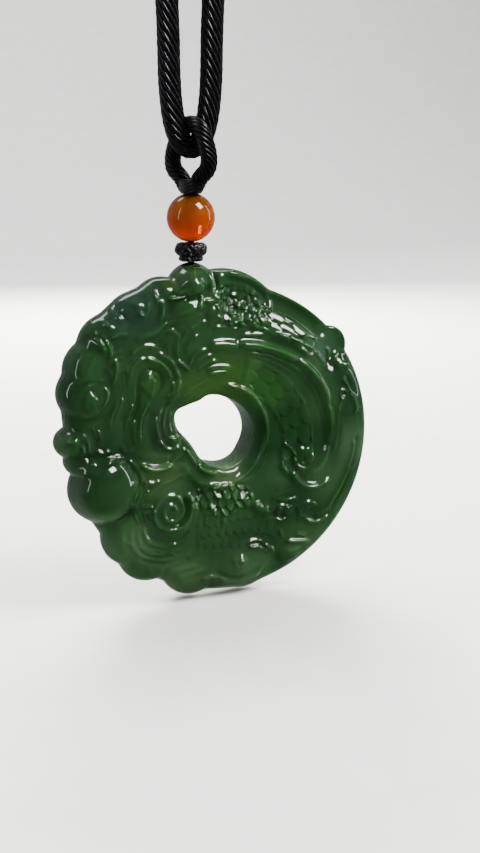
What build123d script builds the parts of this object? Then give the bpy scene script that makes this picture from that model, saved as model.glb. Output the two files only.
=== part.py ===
from build123d import *
import math
import os
from collections import namedtuple

os.makedirs("parts", exist_ok=True)

# All sizes are in millimetres and degrees. X is to the wearer's left, -Y is the carved front, Z is up.
# The origin is the top of the necklace, where it hangs.

# Jade disc
disc_radius = 27.0
body_half = 3.6
edge_width = 3.5
bore_radius = 6.5
bore_half = 2.3
bore_edge_width = 1.8
bore_edge_angle = 20.0
bore_offset_x = -1.0
bore_offset_z = 0.7
carving_height = 1.0

# Bead, knot and thread
bead_diameter = 7.7
thread_diameter = 1.1
thread_hole_diameter = 1.6
thread_hole_depth = 4.5
thread_end_diameter = 2.2
knot_diameter = 5.2
knot_height = 2.1
knot_foot_diameter = 4.2
knot_foot_height = 0.8
piece_gap = 0.1

# Cords
necklace_cord_diameter = 3.6
bail_cord_diameter = 2.7
fold_half_width = 3.5
bail_rise = 3.5
bail_half_depth = 4.0
bail_drop = 6.9
necklace_drop = 201.0
straight_height = 28.0
straight_half_width = 3.6
crown_half_width = 14.0
crown_height = 9.0
crown_shoulder = 10.5
arc_share = 0.45

# Clasp
clasp_length = 14.0
clasp_diameter = 6.0
clasp_clearance = 0.15
clasp_edge = 0.6

# Number of facets of the carving
turn_steps = 128
ring_steps = 24

# The carving's tables count in 27ths of the disc's radius, and their heights in carving_height
carving_unit = disc_radius / 27
bore_place_x = bore_offset_x / carving_unit
bore_place_z = bore_offset_z / carving_unit

# Round lobes whose union is the outline of the disc
Lobe = namedtuple("Lobe", "name x z radius")
outline_lobes = [
    Lobe("disc", 0.0, 0.0, 25.4),
    Lobe("right rim", 1.6, -1.1, 26.0),
    Lobe("head", -6.4, 6.2, 20.2),
    Lobe("leaf", 20.5, 14.4, 2.9),
    Lobe("fin", 0.4, 16.5, 11.2),
    Lobe("boss", -4.6, 24.9, 3.9),
    Lobe("boss shoulder", -9.9, 22.2, 4.5),
    Lobe("upper horn", -14.2, 19.7, 4.8),
    Lobe("lower horn", -18.8, 16.2, 5.0),
    Lobe("crown", -21.5, 12.5, 4.8),
    Lobe("brow", -23.2, 8.8, 4.3),
    Lobe("nose", -25.7, 0.9, 2.4),
    Lobe("lip", -24.3, -2.2, 2.3),
    Lobe("pearl", -20.5, -7.2, 5.5),
    Lobe("beard", -15.8, -15.9, 4.8),
    Lobe("lower cloud", -13.0, -19.0, 4.8),
    Lobe("bottom cloud", -5.3, -22.3, 4.95),
    Lobe("bottom scroll", 4.2, -21.7, 5.6),
    Lobe("small lobe", 12.3, -21.4, 2.6),
]

# Reach of the bore from its middle at each angle, as a share of its radius
BoreRow = namedtuple("BoreRow", "angle share")
bore_rows_by_angle = [
    BoreRow(0, 1.00),
    BoreRow(15, 0.98),
    BoreRow(30, 0.96),
    BoreRow(45, 0.945),
    BoreRow(60, 0.94),
    BoreRow(75, 0.955),
    BoreRow(90, 1.005),
    BoreRow(105, 1.05),
    BoreRow(120, 1.03),
    BoreRow(135, 1.145),
    BoreRow(150, 1.30),
    BoreRow(165, 1.15),
    BoreRow(180, 0.885),
    BoreRow(195, 0.75),
    BoreRow(210, 0.715),
    BoreRow(225, 0.735),
    BoreRow(240, 0.77),
    BoreRow(255, 0.815),
    BoreRow(270, 0.855),
    BoreRow(285, 0.925),
    BoreRow(300, 0.985),
    BoreRow(315, 1.01),
    BoreRow(330, 0.99),
    BoreRow(345, 1.00),
]

# Round swellings of the front
Dome = namedtuple("Dome", "name x z length width tilt height")
domes = [
    Dome("pearl", -20.9, -6.7, 5.7, 5.7, 0, 3.0),
    Dome("boss", -4.6, 26.0, 3.6, 3.0, 0, 1.0),
    Dome("brow", -23.8, 13.6, 4.4, 3.2, 60, 0.9),
    Dome("eye", -23.1, 8.1, 1.5, 1.2, 0, 0.5),
    Dome("eyeball", -23.1, 8.2, 3.6, 2.9, 20, 0.7),
    Dome("nose", -26.6, 1.6, 2.6, 2.1, 60, 0.9),
    Dome("nostril", -24.4, 2.8, 0.9, 0.7, 90, 0.4),
    Dome("cheek", -19.8, 2.0, 3.4, 2.2, 70, 0.6),
    Dome("ear", -20.6, 16.6, 2.6, 1.2, -58, 0.6),
    Dome("lock tip", -9.3, 1.2, 2.4, 1.6, 90, 0.6),
    Dome("jaw", -11.6, -4.9, 5.4, 1.8, 8, 0.5),
    Dome("lower horn", -19.0, 19.6, 2.6, 2.2, 30, 0.5),
    Dome("upper horn", -14.3, 22.4, 3.2, 2.8, 30, 0.5),
    Dome("inner lock", -13.3, 10.2, 1.9, 1.0, 80, 0.5),
    Dome("leaf", 19.0, 14.4, 3.4, 2.3, -58, 0.8),
    Dome("bottom scroll", 3.6, -21.6, 4.8, 3.8, 0, 0.7),
    Dome("scroll middle", 2.7, -21.3, 1.3, 1.3, 0, 0.5),
    Dome("small lobe", 11.8, -21.2, 2.6, 1.8, 10, 0.6),
    Dome("beard", -16.4, -15.4, 4.2, 2.8, -60, 0.4),
    Dome("spiral middle", -9.7, -11.2, 5.4, 5.4, 0, 0.7),
    Dome("tail tip", 14.6, -4.0, 1.7, 1.4, 0, 0.5),
    Dome("rim bud", 22.6, 3.7, 1.9, 1.9, 0, 0.4),
]

# Raised lines along arcs and spirals, with a negative height for a groove
Stroke = namedtuple("Stroke", "name x z start_radius end_radius start_angle end_angle width height")
strokes = [
    Stroke("body field", 0.6, -1.0, 13.2, 13.2, 78, -44, 2.9, -0.7),
    Stroke("body band", 0.6, -2.3, 20.6, 20.8, 62, -22, 1.5, 0.35),
    Stroke("scale band", 0.6, -2.3, 22.4, 22.4, 92, 40, 1.8, 0.3),
    Stroke("hole band", -1.0, 0.7, 7.9, 8.2, -150, 80, 0.75, 0.35),
    Stroke("beard spiral", -9.7, -11.2, 0.7, 5.3, 0, 760, 0.65, 0.7),
    Stroke("rim small curl", 22.6, 3.8, 1.7, 1.9, -60, 230, 0.55, 0.45),
    Stroke("rim curl spiral", 15.9, -14.3, 0.8, 1.5, 20, 300, 0.5, 0.4),
]

# Raised lines drawn through their start, middle and end, with a negative height for a groove
Fold = namedtuple("Fold", "name x0 z0 xm zm x1 z1 width height")
upper_folds = [
    Fold("boss rim", -4.3, 28.7, -2.05, 27.1, -2.7, 24.3, 0.6, 0.55),
    Fold("boss wave", -10.9, 24.4, -8.0, 24.7, -5.0, 26.0, 0.6, 0.5),
    Fold("boss second wave", -10.4, 23.0, -7.8, 22.9, -4.5, 23.5, 0.6, 0.45),
    Fold("flow under boss", -11.8, 19.4, -8.0, 20.9, -4.0, 21.8, 0.7, 0.4),
    Fold("fin edge left", -1.3, 26.8, 1.6, 27.1, 4.9, 26.2, 0.6, 0.6),
    Fold("fin edge right", 4.0, 26.6, 7.2, 24.9, 8.85, 22.1, 0.6, 0.6),
    Fold("fin hook", 8.85, 22.6, 8.2, 21.0, 6.7, 21.3, 0.55, 0.55),
    Fold("fin channel", 0.0, 26.3, 4.3, 25.6, 7.8, 22.6, 0.6, -0.4),
    Fold("fin inner line", -0.9, 24.2, 2.9, 25.6, 7.5, 22.2, 0.45, 0.4),
    Fold("leaf outer edge", 16.2, 17.8, 19.2, 17.0, 21.0, 15.2, 0.5, 0.4),
    Fold("leaf left bowl", 16.6, 13.8, 17.4, 12.3, 18.8, 11.2, 0.5, 0.5),
    Fold("leaf right bowl", 18.6, 11.2, 20.0, 11.5, 20.8, 13.0, 0.5, 0.5),
    Fold("horn divide", -11.9, 25.9, -12.0, 23.0, -11.2, 20.0, 0.5, 0.45),
    Fold("horn ring left", -15.4, 24.6, -17.0, 22.4, -15.4, 20.0, 0.5, 0.45),
    Fold("horn ring right", -13.3, 25.4, -12.9, 22.9, -14.6, 20.4, 0.5, 0.4),
    Fold("horn gap", -18.2, 23.2, -18.3, 21.3, -17.7, 19.8, 0.5, 0.5),
    Fold("lower horn outer", -21.2, 21.2, -21.3, 19.2, -19.6, 17.8, 0.5, 0.4),
    Fold("lower horn bottom", -20.4, 17.7, -18.2, 18.4, -16.2, 18.0, 0.5, 0.35),
    Fold("ear left edge", -21.9, 18.4, -20.9, 16.8, -20.1, 15.0, 0.45, 0.6),
    Fold("ear right edge", -20.5, 17.6, -19.8, 16.0, -19.1, 14.4, 0.45, 0.6),
    Fold("ear lower flow", -19.1, 15.2, -18.5, 12.6, -19.6, 9.8, 0.6, 0.4),
]
body_folds = [
    Fold("body start", -3.2, 15.6, -0.4, 15.8, 2.6, 15.2, 0.75, 0.8),
    Fold("body ridge top", 0.6, 15.7, 7.6, 14.8, 13.8, 11.9, 0.6, 0.7),
    Fold("body ridge middle", 12.2, 13.0, 16.8, 8.7, 18.9, 3.4, 0.6, 0.7),
    Fold("body ridge low", 18.3, 5.4, 19.3, 0.6, 18.6, -3.4, 0.6, 0.7),
    Fold("body ridge end", 19.0, -1.6, 17.8, -5.6, 14.8, -7.2, 0.55, 0.6),
    Fold("inner line top", 4.5, 14.0, 9.5, 12.7, 14.0, 9.6, 0.5, 0.35),
    Fold("inner line middle", 12.6, 10.8, 16.2, 7.0, 18.0, 2.6, 0.5, 0.35),
    Fold("outer line", 19.6, 5.5, 20.5, 0.5, 19.6, -5.0, 0.6, 0.25),
    Fold("scale field edge", 6.8, 17.1, 11.9, 16.1, 17.2, 12.9, 0.5, 0.4),
    Fold("rim band upper", 21.9, 9.4, 23.7, 6.6, 25.0, 2.8, 0.5, -0.5),
    Fold("tail hook left", 10.5, -1.7, 10.6, -5.6, 12.9, -7.9, 0.6, 0.45),
    Fold("tail hook", 11.6, -5.6, 15.2, -9.6, 20.2, -7.9, 0.65, 0.75),
    Fold("tail hook inside", 12.7, -3.6, 13.4, -5.9, 16.0, -6.2, 0.5, 0.55),
    Fold("tail tip", 13.0, -5.2, 15.4, -5.4, 16.3, -3.3, 0.5, 0.55),
    Fold("rim curl left", 15.6, -12.5, 13.9, -13.9, 15.0, -15.6, 0.5, 0.45),
    Fold("rim curl bottom", 14.6, -15.0, 17.2, -16.1, 19.8, -14.9, 0.5, 0.55),
    Fold("rim lip low", 18.0, -15.0, 21.6, -10.4, 23.4, -6.4, 0.5, 0.5),
    Fold("rim lip high", 22.7, -8.2, 23.8, -4.8, 24.2, -2.0, 0.5, 0.45),
    Fold("rim groove low", 19.4, -14.6, 21.9, -11.0, 23.6, -6.6, 0.5, -0.6),
    Fold("rim groove high", 23.1, -7.8, 24.3, -4.5, 24.5, -1.0, 0.5, -0.5),
]
head_folds = [
    Fold("eye ring top", -25.4, 7.4, -24.0, 10.3, -20.6, 10.9, 0.5, 0.5),
    Fold("eye ring right", -21.2, 10.9, -20.1, 8.6, -21.6, 6.4, 0.5, 0.5),
    Fold("eye ring low", -25.5, 7.2, -23.4, 5.8, -20.9, 7.1, 0.5, 0.5),
    Fold("eye outer left", -26.4, 6.4, -26.4, 9.0, -25.4, 11.4, 0.45, 0.35),
    Fold("eye bag", -25.9, 5.9, -23.2, 4.7, -20.6, 5.6, 0.6, -0.3),
    Fold("nose wing top", -27.4, 1.2, -26.2, 2.0, -24.5, 1.1, 0.45, 0.4),
    Fold("nose wing side", -24.9, 1.6, -24.2, 0.4, -24.6, -0.8, 0.45, 0.35),
    Fold("upper lip edge", -22.4, 0.5, -21.2, -0.35, -19.6, 0.2, 0.45, 0.5),
    Fold("gum line", -26.8, -0.7, -24.8, -0.9, -22.2, -0.7, 0.45, -0.45),
    Fold("lip over pearl", -21.6, -2.5, -19.0, -1.3, -17.4, -2.2, 0.45, 0.5),
    Fold("cheek flow left", -18.2, 8.4, -19.4, 5.6, -20.0, 2.8, 0.5, 0.4),
    Fold("cheek flow right", -15.9, 6.4, -16.9, 4.6, -17.4, 2.0, 0.5, 0.35),
    Fold("socket ring upper", -17.3, -1.8, -15.0, -3.6, -14.8, -6.4, 0.5, 0.35),
    Fold("socket ring lower", -14.8, -5.4, -14.9, -8.8, -16.6, -10.4, 0.5, 0.35),
    Fold("arch one left", -16.6, 14.4, -14.2, 16.2, -11.0, 15.4, 0.55, 0.4),
    Fold("arch one right", -12.4, 15.9, -9.2, 13.4, -8.35, 10.0, 0.55, 0.4),
    Fold("arch one low", -8.3, 11.2, -8.6, 8.2, -10.6, 6.2, 0.5, 0.4),
    Fold("arch two left", -16.5, 9.4, -15.9, 13.0, -13.2, 14.3, 0.55, 0.45),
    Fold("arch two right", -14.4, 14.3, -10.9, 13.0, -9.3, 9.8, 0.55, 0.45),
    Fold("arch groove left", -15.1, 12.2, -15.1, 7.2, -16.6, 4.0, 0.5, -0.6),
    Fold("arch groove right", -13.6, 12.6, -11.0, 11.6, -11.8, 8.4, 0.5, -0.6),
    Fold("vertical strand one", -13.0, 7.9, -14.6, 4.2, -14.8, 0.2, 0.5, 0.45),
    Fold("lock outer side", -10.9, 6.8, -11.9, 3.4, -11.2, 0.2, 0.5, 0.5),
    Fold("lock outer tip", -11.8, 1.8, -10.0, -0.8, -7.5, 0.3, 0.5, 0.6),
    Fold("lock inner side", -10.0, 6.6, -10.6, 3.2, -9.0, 1.0, 0.4, 0.35),
    Fold("hollow beside lock", -12.6, 6.4, -13.2, 2.6, -12.0, -1.2, 0.9, -0.5),
    Fold("fan strand one", -8.3, 13.4, -8.4, 15.9, -8.0, 18.4, 0.5, 0.4),
    Fold("fan strand two", -7.7, 13.8, -6.9, 17.6, -3.0, 19.7, 0.5, 0.4),
    Fold("fan strand three", -6.3, 12.0, -5.4, 14.5, -2.4, 15.1, 0.5, 0.4),
    Fold("hole arc", -4.2, 11.6, -1.2, 12.2, 1.8, 11.7, 0.6, 0.35),
]
lower_folds = [
    Fold("jaw smile", -15.4, -2.6, -12.2, -3.8, -9.2, -3.0, 0.55, 0.7),
    Fold("jaw smile end", -10.2, -3.5, -8.2, -1.9, -7.0, -0.7, 0.5, 0.35),
    Fold("jaw lower edge", -14.6, -9.2, -11.6, -6.8, -6.0, -4.8, 0.6, 0.4),
    Fold("jaw ridge", -14.2, -5.7, -12.8, -6.1, -11.2, -5.7, 0.45, 0.45),
    Fold("hole lip low left", -4.9, -3.7, -3.6, -5.1, -0.6, -5.6, 0.5, 0.55),
    Fold("hole lip bottom", -2.0, -5.5, 0.8, -5.6, 2.8, -4.9, 0.5, 0.5),
    Fold("band low edge", -6.4, -5.9, -2.4, -7.6, 2.6, -7.5, 0.55, 0.4),
    Fold("band low edge right", 1.2, -7.6, 5.0, -6.6, 7.2, -4.2, 0.55, 0.4),
    Fold("sweep one", -14.4, -12.6, -13.4, -16.2, -9.4, -17.2, 0.55, 0.45),
    Fold("sweep one right", -10.8, -17.1, -7.8, -16.4, -6.2, -14.2, 0.55, 0.45),
    Fold("dark groove ring", -7.9, -8.5, -7.05, -11.8, -9.8, -14.6, 0.5, -0.6),
    Fold("sweep two", -15.4, -13.2, -14.4, -17.4, -10.2, -18.5, 0.55, 0.4),
    Fold("sweep two right", -11.6, -18.4, -8.2, -18.1, -5.6, -16.3, 0.55, 0.4),
    Fold("sweep three", -16.4, -13.0, -15.9, -17.4, -11.8, -19.5, 0.55, 0.4),
    Fold("sweep three right", -13.2, -19.2, -9.0, -19.3, -5.5, -17.5, 0.55, 0.4),
    Fold("sweep four", -17.8, -13.4, -17.4, -17.6, -13.2, -20.3, 0.55, 0.35),
    Fold("beard shadow", -21.4, -12.9, -18.2, -11.6, -15.4, -10.4, 0.7, -0.6),
    Fold("bottom cloud edge", -4.4, -24.4, -2.6, -23.6, -1.2, -24.4, 0.5, 0.4),
    Fold("bottom cloud flow", -11.0, -22.3, -8.0, -21.6, -4.0, -21.4, 0.6, 0.35),
    Fold("scroll top", 3.3, -18.6, 6.2, -18.0, 8.9, -20.8, 0.5, 0.5),
    Fold("scroll centre", 1.4, -19.6, 1.8, -21.9, 3.8, -22.4, 0.45, 0.4),
    Fold("scroll rim", -1.8, -23.1, 2.6, -25.2, 7.3, -22.7, 0.5, 0.45),
    Fold("small lobe top", 11.2, -19.0, 13.6, -19.2, 16.2, -19.5, 0.45, 0.5),
    Fold("lower curl top", 9.2, -12.6, 10.9, -13.1, 12.4, -12.7, 0.45, 0.4),
    Fold("lower curl groove", 9.0, -13.0, 9.6, -14.4, 11.6, -14.4, 0.45, -0.45),
]
fold_tables = [upper_folds, body_folds, head_folds, lower_folds]
fold_runs = 10

# Rows of round scales in a ring-shaped field
Scales = namedtuple("Scales", "name x z inner_radius outer_radius start_angle end_angle pitch height")
scale_fields = [
    Scales("fin scales", 1.5, 19.0, 0.0, 5.2, -10, 190, 1.5, 0.35),
    Scales("back scales", 0.6, -2.3, 19.9, 23.7, 77, 46, 1.9, 0.45),
    Scales("belly scales", -1.0, 0.7, 9.3, 15.6, -58, -120, 2.1, 0.4),
]


def smooth_step(value):
    share = min(1.0, max(0.0, value))
    return share * share * (3.0 - 2.0 * share)


def outline_radius(angle):
    # Distance from the middle of the bore to the outline, as a soft maximum over the lobes
    reach = [0.0]
    for lobe in outline_lobes:
        offset_x = lobe.x - bore_place_x
        offset_z = lobe.z - bore_place_z
        along = offset_x * math.cos(angle) + offset_z * math.sin(angle)
        rest = lobe.radius ** 2 - (offset_x ** 2 + offset_z ** 2 - along ** 2)
        if rest > 0:
            reach.append(along + math.sqrt(rest))
    top = max(reach)
    total = sum(math.exp(3.0 * (value - top)) for value in reach)
    return (top + math.log(total) / 3.0 * 0.6) * carving_unit


def hole_radius(angle):
    # A smooth curve through the rows, which lie evenly round the circle
    count = len(bore_rows_by_angle)
    place = math.degrees(angle) / 360.0 * count
    index = math.floor(place)
    part = place - index
    before, start, end, beyond = [bore_rows_by_angle[(index + step) % count].share for step in (-1, 0, 1, 2)]
    curve = start + 0.5 * part * (end - before)
    curve = curve + part ** 2 * (before - 2.5 * start + 2.0 * end - 0.5 * beyond)
    curve = curve + part ** 3 * (1.5 * start - 0.5 * before - 1.5 * end + 0.5 * beyond)
    return bore_radius * curve


def bore_edge(angle):
    # The front edge of the bore is widest at the right
    return bore_edge_width * (0.75 + 0.25 * math.cos(angle - math.radians(bore_edge_angle)))


def round_edge(distance, width):
    share = min(1.0, max(0.0, distance / width))
    return math.sqrt(1.0 - (1.0 - share) ** 2)


def dome_height(dome, x, z):
    tilt = math.radians(dome.tilt)
    along = (x - dome.x) * math.cos(tilt) + (z - dome.z) * math.sin(tilt)
    across = (z - dome.z) * math.cos(tilt) - (x - dome.x) * math.sin(tilt)
    share = (along / dome.length) ** 2 + (across / dome.width) ** 2
    if share >= 1.0:
        return 0.0
    return dome.height * math.sqrt(1.0 - share)


def stroke_height(stroke, x, z):
    distance = math.hypot(x - stroke.x, z - stroke.z)
    angle = math.degrees(math.atan2(z - stroke.z, x - stroke.x))
    span = stroke.end_angle - stroke.start_angle
    best = 0.0
    for turn in (-2, -1, 0, 1, 2):
        share = (angle + 360.0 * turn - stroke.start_angle) / span
        if 0.0 <= share <= 1.0:
            radius = stroke.start_radius + (stroke.end_radius - stroke.start_radius) * share
            off = (distance - radius) / stroke.width
            ends = smooth_step(share * 8.0) * smooth_step((1.0 - share) * 8.0)
            if abs(span) >= 359.0:
                ends = 1.0
            best = max(best, math.exp(-off * off) * ends)
    return stroke.height * best


def scale_height(field, x, z):
    distance = math.hypot(x - field.x, z - field.z)
    angle = math.degrees(math.atan2(z - field.z, x - field.x))
    low = min(field.start_angle, field.end_angle)
    high = max(field.start_angle, field.end_angle)
    if angle < low - 180.0:
        angle = angle + 360.0
    if not (field.inner_radius <= distance <= field.outer_radius and low <= angle <= high):
        return 0.0
    row = math.floor((distance - field.inner_radius) / field.pitch)
    row_radius = field.inner_radius + (row + 0.5) * field.pitch
    step = math.degrees(field.pitch / max(row_radius, field.pitch))
    place = (angle - low) / step + 0.5 * (row % 2)
    across = (place - math.floor(place) - 0.5) * 2.0
    along = (distance - row_radius) / (0.5 * field.pitch)
    share = across * across + along * along
    return field.height * max(0.0, 1.0 - share)


def fold_line(fold):
    # Points along the curve that passes through the fold's start, middle and end
    control_x = 2.0 * fold.xm - 0.5 * (fold.x0 + fold.x1)
    control_z = 2.0 * fold.zm - 0.5 * (fold.z0 + fold.z1)
    points = []
    for run in range(fold_runs + 1):
        share = run / fold_runs
        x = (1 - share) ** 2 * fold.x0 + 2 * share * (1 - share) * control_x + share ** 2 * fold.x1
        z = (1 - share) ** 2 * fold.z0 + 2 * share * (1 - share) * control_z + share ** 2 * fold.z1
        points.append((x, z))
    return points


FoldShape = namedtuple("FoldShape", "fold points low_x high_x low_z high_z")
fold_shapes = []
for table in fold_tables:
    for fold in table:
        points = fold_line(fold)
        reach = 2.5 * fold.width
        low_x = min(x for x, z in points) - reach
        high_x = max(x for x, z in points) + reach
        low_z = min(z for x, z in points) - reach
        high_z = max(z for x, z in points) + reach
        fold_shapes.append(FoldShape(fold, points, low_x, high_x, low_z, high_z))


def fold_height(shape, x, z):
    fold = shape.fold
    best = 1000.0
    best_share = 0.0
    for run in range(fold_runs):
        x0, z0 = shape.points[run]
        x1, z1 = shape.points[run + 1]
        along = ((x - x0) * (x1 - x0) + (z - z0) * (z1 - z0)) / ((x1 - x0) ** 2 + (z1 - z0) ** 2)
        along = min(1.0, max(0.0, along))
        distance = math.hypot(x - x0 - along * (x1 - x0), z - z0 - along * (z1 - z0))
        if distance < best:
            best = distance
            best_share = (run + along) / fold_runs
    taper = smooth_step(best_share * 5.0) * smooth_step((1.0 - best_share) * 5.0)
    width = fold.width * (0.6 + 0.4 * taper)
    return fold.height * taper * math.exp(-(best / width) ** 2)


def relief(x, z):
    # Carved height over the plain front, for a place given in carving units
    total = 0.0
    for dome in domes:
        total = total + dome_height(dome, x, z)
    for stroke in strokes:
        total = total + stroke_height(stroke, x, z)
    ridge = 0.0
    groove = 0.0
    for shape in fold_shapes:
        if shape.low_x < x < shape.high_x and shape.low_z < z < shape.high_z:
            height = fold_height(shape, x, z)
            ridge = max(ridge, height)
            groove = min(groove, height)
    total = total + ridge + groove
    for field in scale_fields:
        total = total + scale_height(field, x, z)
    return total * carving_height


# Height of the hang line pieces below the fold of the necklace
fold_z = -clasp_diameter / 2 - necklace_drop
bead_z = fold_z - bail_drop - piece_gap - bead_diameter / 2
knot_z = bead_z - bead_diameter / 2 - piece_gap - knot_height / 2
knot_foot_z = knot_z - knot_height / 2 - knot_foot_height / 2
boss_top_z = knot_foot_z - knot_foot_height / 2 - piece_gap
boss = [lobe for lobe in outline_lobes if lobe.name == "boss"][0]
disc_x = -boss.x * carving_unit
disc_z = boss_top_z - piece_gap - (boss.z + boss.radius) * carving_unit
hole_x = disc_x + bore_offset_x
hole_z = disc_z + bore_offset_z


def jade_point(angle, radius, depth):
    return Vector(hole_x + radius * math.cos(angle), depth, hole_z + radius * math.sin(angle))


# Rings of the front, from the bore out to the rim
bore_rows = [0.0, 0.15, 0.5, 1.0]
rim_rows = [1.0, 0.55, 0.25, 0.08]
rings_front = []
rings_back_bore = []
rings_back_rim = []
rim_ring = []
for step in range(turn_steps):
    angle = 2 * math.pi * step / turn_steps
    inner = hole_radius(angle)
    bevel = bore_edge(angle)
    outer = outline_radius(angle)
    radii = [inner + share * bevel for share in bore_rows]
    field_start = inner + bevel
    field_end = outer - edge_width
    for ring in range(1, ring_steps):
        radii.append(field_start + (field_end - field_start) * ring / ring_steps)
    radii.extend([outer - share * edge_width for share in rim_rows])
    column = []
    for radius in radii:
        from_bore = radius - inner
        from_rim = outer - radius
        height = bore_half + (body_half - bore_half) * round_edge(from_bore, bevel)
        height = height * round_edge(from_rim, edge_width)
        place_x = bore_place_x + radius * math.cos(angle) / carving_unit
        place_z = bore_place_z + radius * math.sin(angle) / carving_unit
        fade = smooth_step(from_bore / 1.2) * smooth_step(from_rim / 1.8)
        height = height + fade * relief(place_x, place_z)
        column.append(jade_point(angle, radius, -height))
    rings_front.append(column)
    back = []
    for share in bore_rows:
        height = bore_half + (body_half - bore_half) * round_edge(share, 1.0)
        back.append(jade_point(angle, inner + share * bevel, height))
    rings_back_bore.append(back)
    back = []
    for share in rim_rows:
        back.append(jade_point(angle, outer - share * edge_width, body_half * round_edge(share, 1.0)))
    rings_back_rim.append(back)
    rim_ring.append(jade_point(angle, outer, 0.0))

# Triangles between neighbouring columns
jade_faces = []


def add_quad(first, second, third, fourth):
    jade_faces.append(Face(Wire.make_polygon([first, second, third], close=True)))
    jade_faces.append(Face(Wire.make_polygon([first, third, fourth], close=True)))


for step in range(turn_steps):
    after = (step + 1) % turn_steps
    front_pair = (rings_front[step] + [rim_ring[step]], rings_front[after] + [rim_ring[after]])
    rim_pair = (rings_back_rim[step] + [rim_ring[step]], rings_back_rim[after] + [rim_ring[after]])
    bore_pair = (rings_back_bore[step], rings_back_bore[after])
    for left, right in (front_pair, rim_pair, bore_pair):
        for row in range(len(left) - 1):
            add_quad(left[row], right[row], right[row + 1], left[row + 1])
    add_quad(rings_front[step][0], rings_front[after][0], rings_back_bore[after][0], rings_back_bore[step][0])

back_outer = Wire.make_polygon([column[0] for column in rings_back_rim], close=True)
back_inner = Wire.make_polygon([column[-1] for column in rings_back_bore], close=True)
jade_faces.append(Face(back_outer, [back_inner]))

# Jade dragon with the thread hole, down from the boss and out at the back
drill_top = (0, 0, boss_top_z + thread_hole_diameter)
drill_turn = (0, 0, boss_top_z - thread_hole_depth)
with BuildPart() as thread_drill:
    with Locations(drill_top):
        Cylinder(
            thread_hole_diameter / 2,
            thread_hole_depth + thread_hole_diameter,
            align=(Align.CENTER, Align.CENTER, Align.MAX),
        )
    with Locations(drill_turn):
        Sphere(thread_hole_diameter / 2)
        Cylinder(
            thread_hole_diameter / 2,
            body_half + thread_hole_diameter,
            rotation=(-90, 0, 0),
            align=(Align.CENTER, Align.CENTER, Align.MIN),
        )
with BuildPart() as jade_dragon:
    add(Solid(Shell(jade_faces)), clean=False)
    add(thread_drill.part, mode=Mode.SUBTRACT, clean=False)
jade_dragon.part.label = "jade_dragon"
export_step(jade_dragon.part, "parts/jade_dragon.step")
print("jade_dragon", len(jade_faces), "faces")

# Wound knot of two tiers, bored for the thread
with BuildPart() as lower_knot:
    with Locations((0, 0, knot_z)):
        Cylinder(knot_diameter / 2, knot_height)
    fillet(lower_knot.edges(), knot_height * 0.42)
    with Locations((0, 0, knot_foot_z + 0.1)):
        Cylinder(knot_foot_diameter / 2, knot_foot_height + 0.2)
    with Locations((0, 0, knot_z)):
        Cylinder(thread_hole_diameter / 2, 3 * knot_height, mode=Mode.SUBTRACT)
lower_knot.part.label = "lower_knot"
export_step(lower_knot.part, "parts/lower_knot.step")

# Round drilled bead
with BuildPart() as carnelian_bead:
    with Locations((0, 0, bead_z)):
        Sphere(bead_diameter / 2)
        Cylinder(thread_hole_diameter / 2, bead_diameter + 1.0, mode=Mode.SUBTRACT)
carnelian_bead.part.label = "carnelian_bead"
export_step(carnelian_bead.part, "parts/carnelian_bead.step")

# Thread through bead, knot and boss, with its own end knot at the back
thread_top_z = bead_z + bead_diameter / 2 - 0.3
thread_turn_z = boss_top_z - thread_hole_depth
thread_end_y = body_half + piece_gap + thread_end_diameter / 2
with BuildPart() as bead_thread:
    with BuildLine() as thread_route:
        FilletPolyline(
            (0, 0, thread_top_z),
            (0, 0, thread_turn_z),
            (0, thread_end_y, thread_turn_z),
            radius=thread_diameter * 0.6,
        )
    with BuildSketch(Plane((0, 0, thread_top_z), z_dir=(0, 0, -1))):
        Circle(thread_diameter / 2)
    sweep(path=thread_route.wire())
    with Locations((0, thread_end_y, thread_turn_z)):
        Sphere(thread_end_diameter / 2)
bead_thread.part.label = "bead_thread"
export_step(bead_thread.part, "parts/bead_thread.step")


def corner_radii(route):
    # Each arc is as large as its two runs allow
    radii = []
    for index in range(1, len(route) - 1):
        before = Vector(route[index]) - Vector(route[index - 1])
        beyond = Vector(route[index + 1]) - Vector(route[index])
        turn = math.radians(before.get_angle(beyond))
        radii.append(arc_share * min(before.length, beyond.length) / math.tan(turn / 2))
    return radii


# Small cord loop, its top over the fold of the necklace and its two ends on the bead
front_side = [
    (0.0, -bail_half_depth, fold_z + bail_rise),
    (2.2, -bail_half_depth + 0.2, fold_z - 2.8),
    (0.35, -1.4, fold_z - 5.2),
    (0.3, -1.38, fold_z - bail_drop),
]
back_side = [(-x, -y, z) for x, y, z in front_side]
bail_route = list(reversed(back_side)) + front_side
bail_radii = corner_radii(bail_route)
print("bail_loop radii", [round(radius, 2) for radius in bail_radii])
with BuildPart() as bail_loop:
    with BuildLine() as bail_line:
        FilletPolyline(*bail_route, radius=bail_radii)
    with BuildSketch(Plane(bail_route[0], z_dir=Vector(bail_route[1]) - Vector(bail_route[0]))):
        Circle(bail_cord_diameter / 2)
    sweep(path=bail_line.wire())
bail_loop.part.label = "bail_loop"
export_step(bail_loop.part, "parts/bail_loop.step")
bail_expected = bail_line.wire().length * math.pi * bail_cord_diameter ** 2 / 4
print("bail_loop volume", round(bail_loop.part.volume, 2), "section x length", round(bail_expected, 2))

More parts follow.
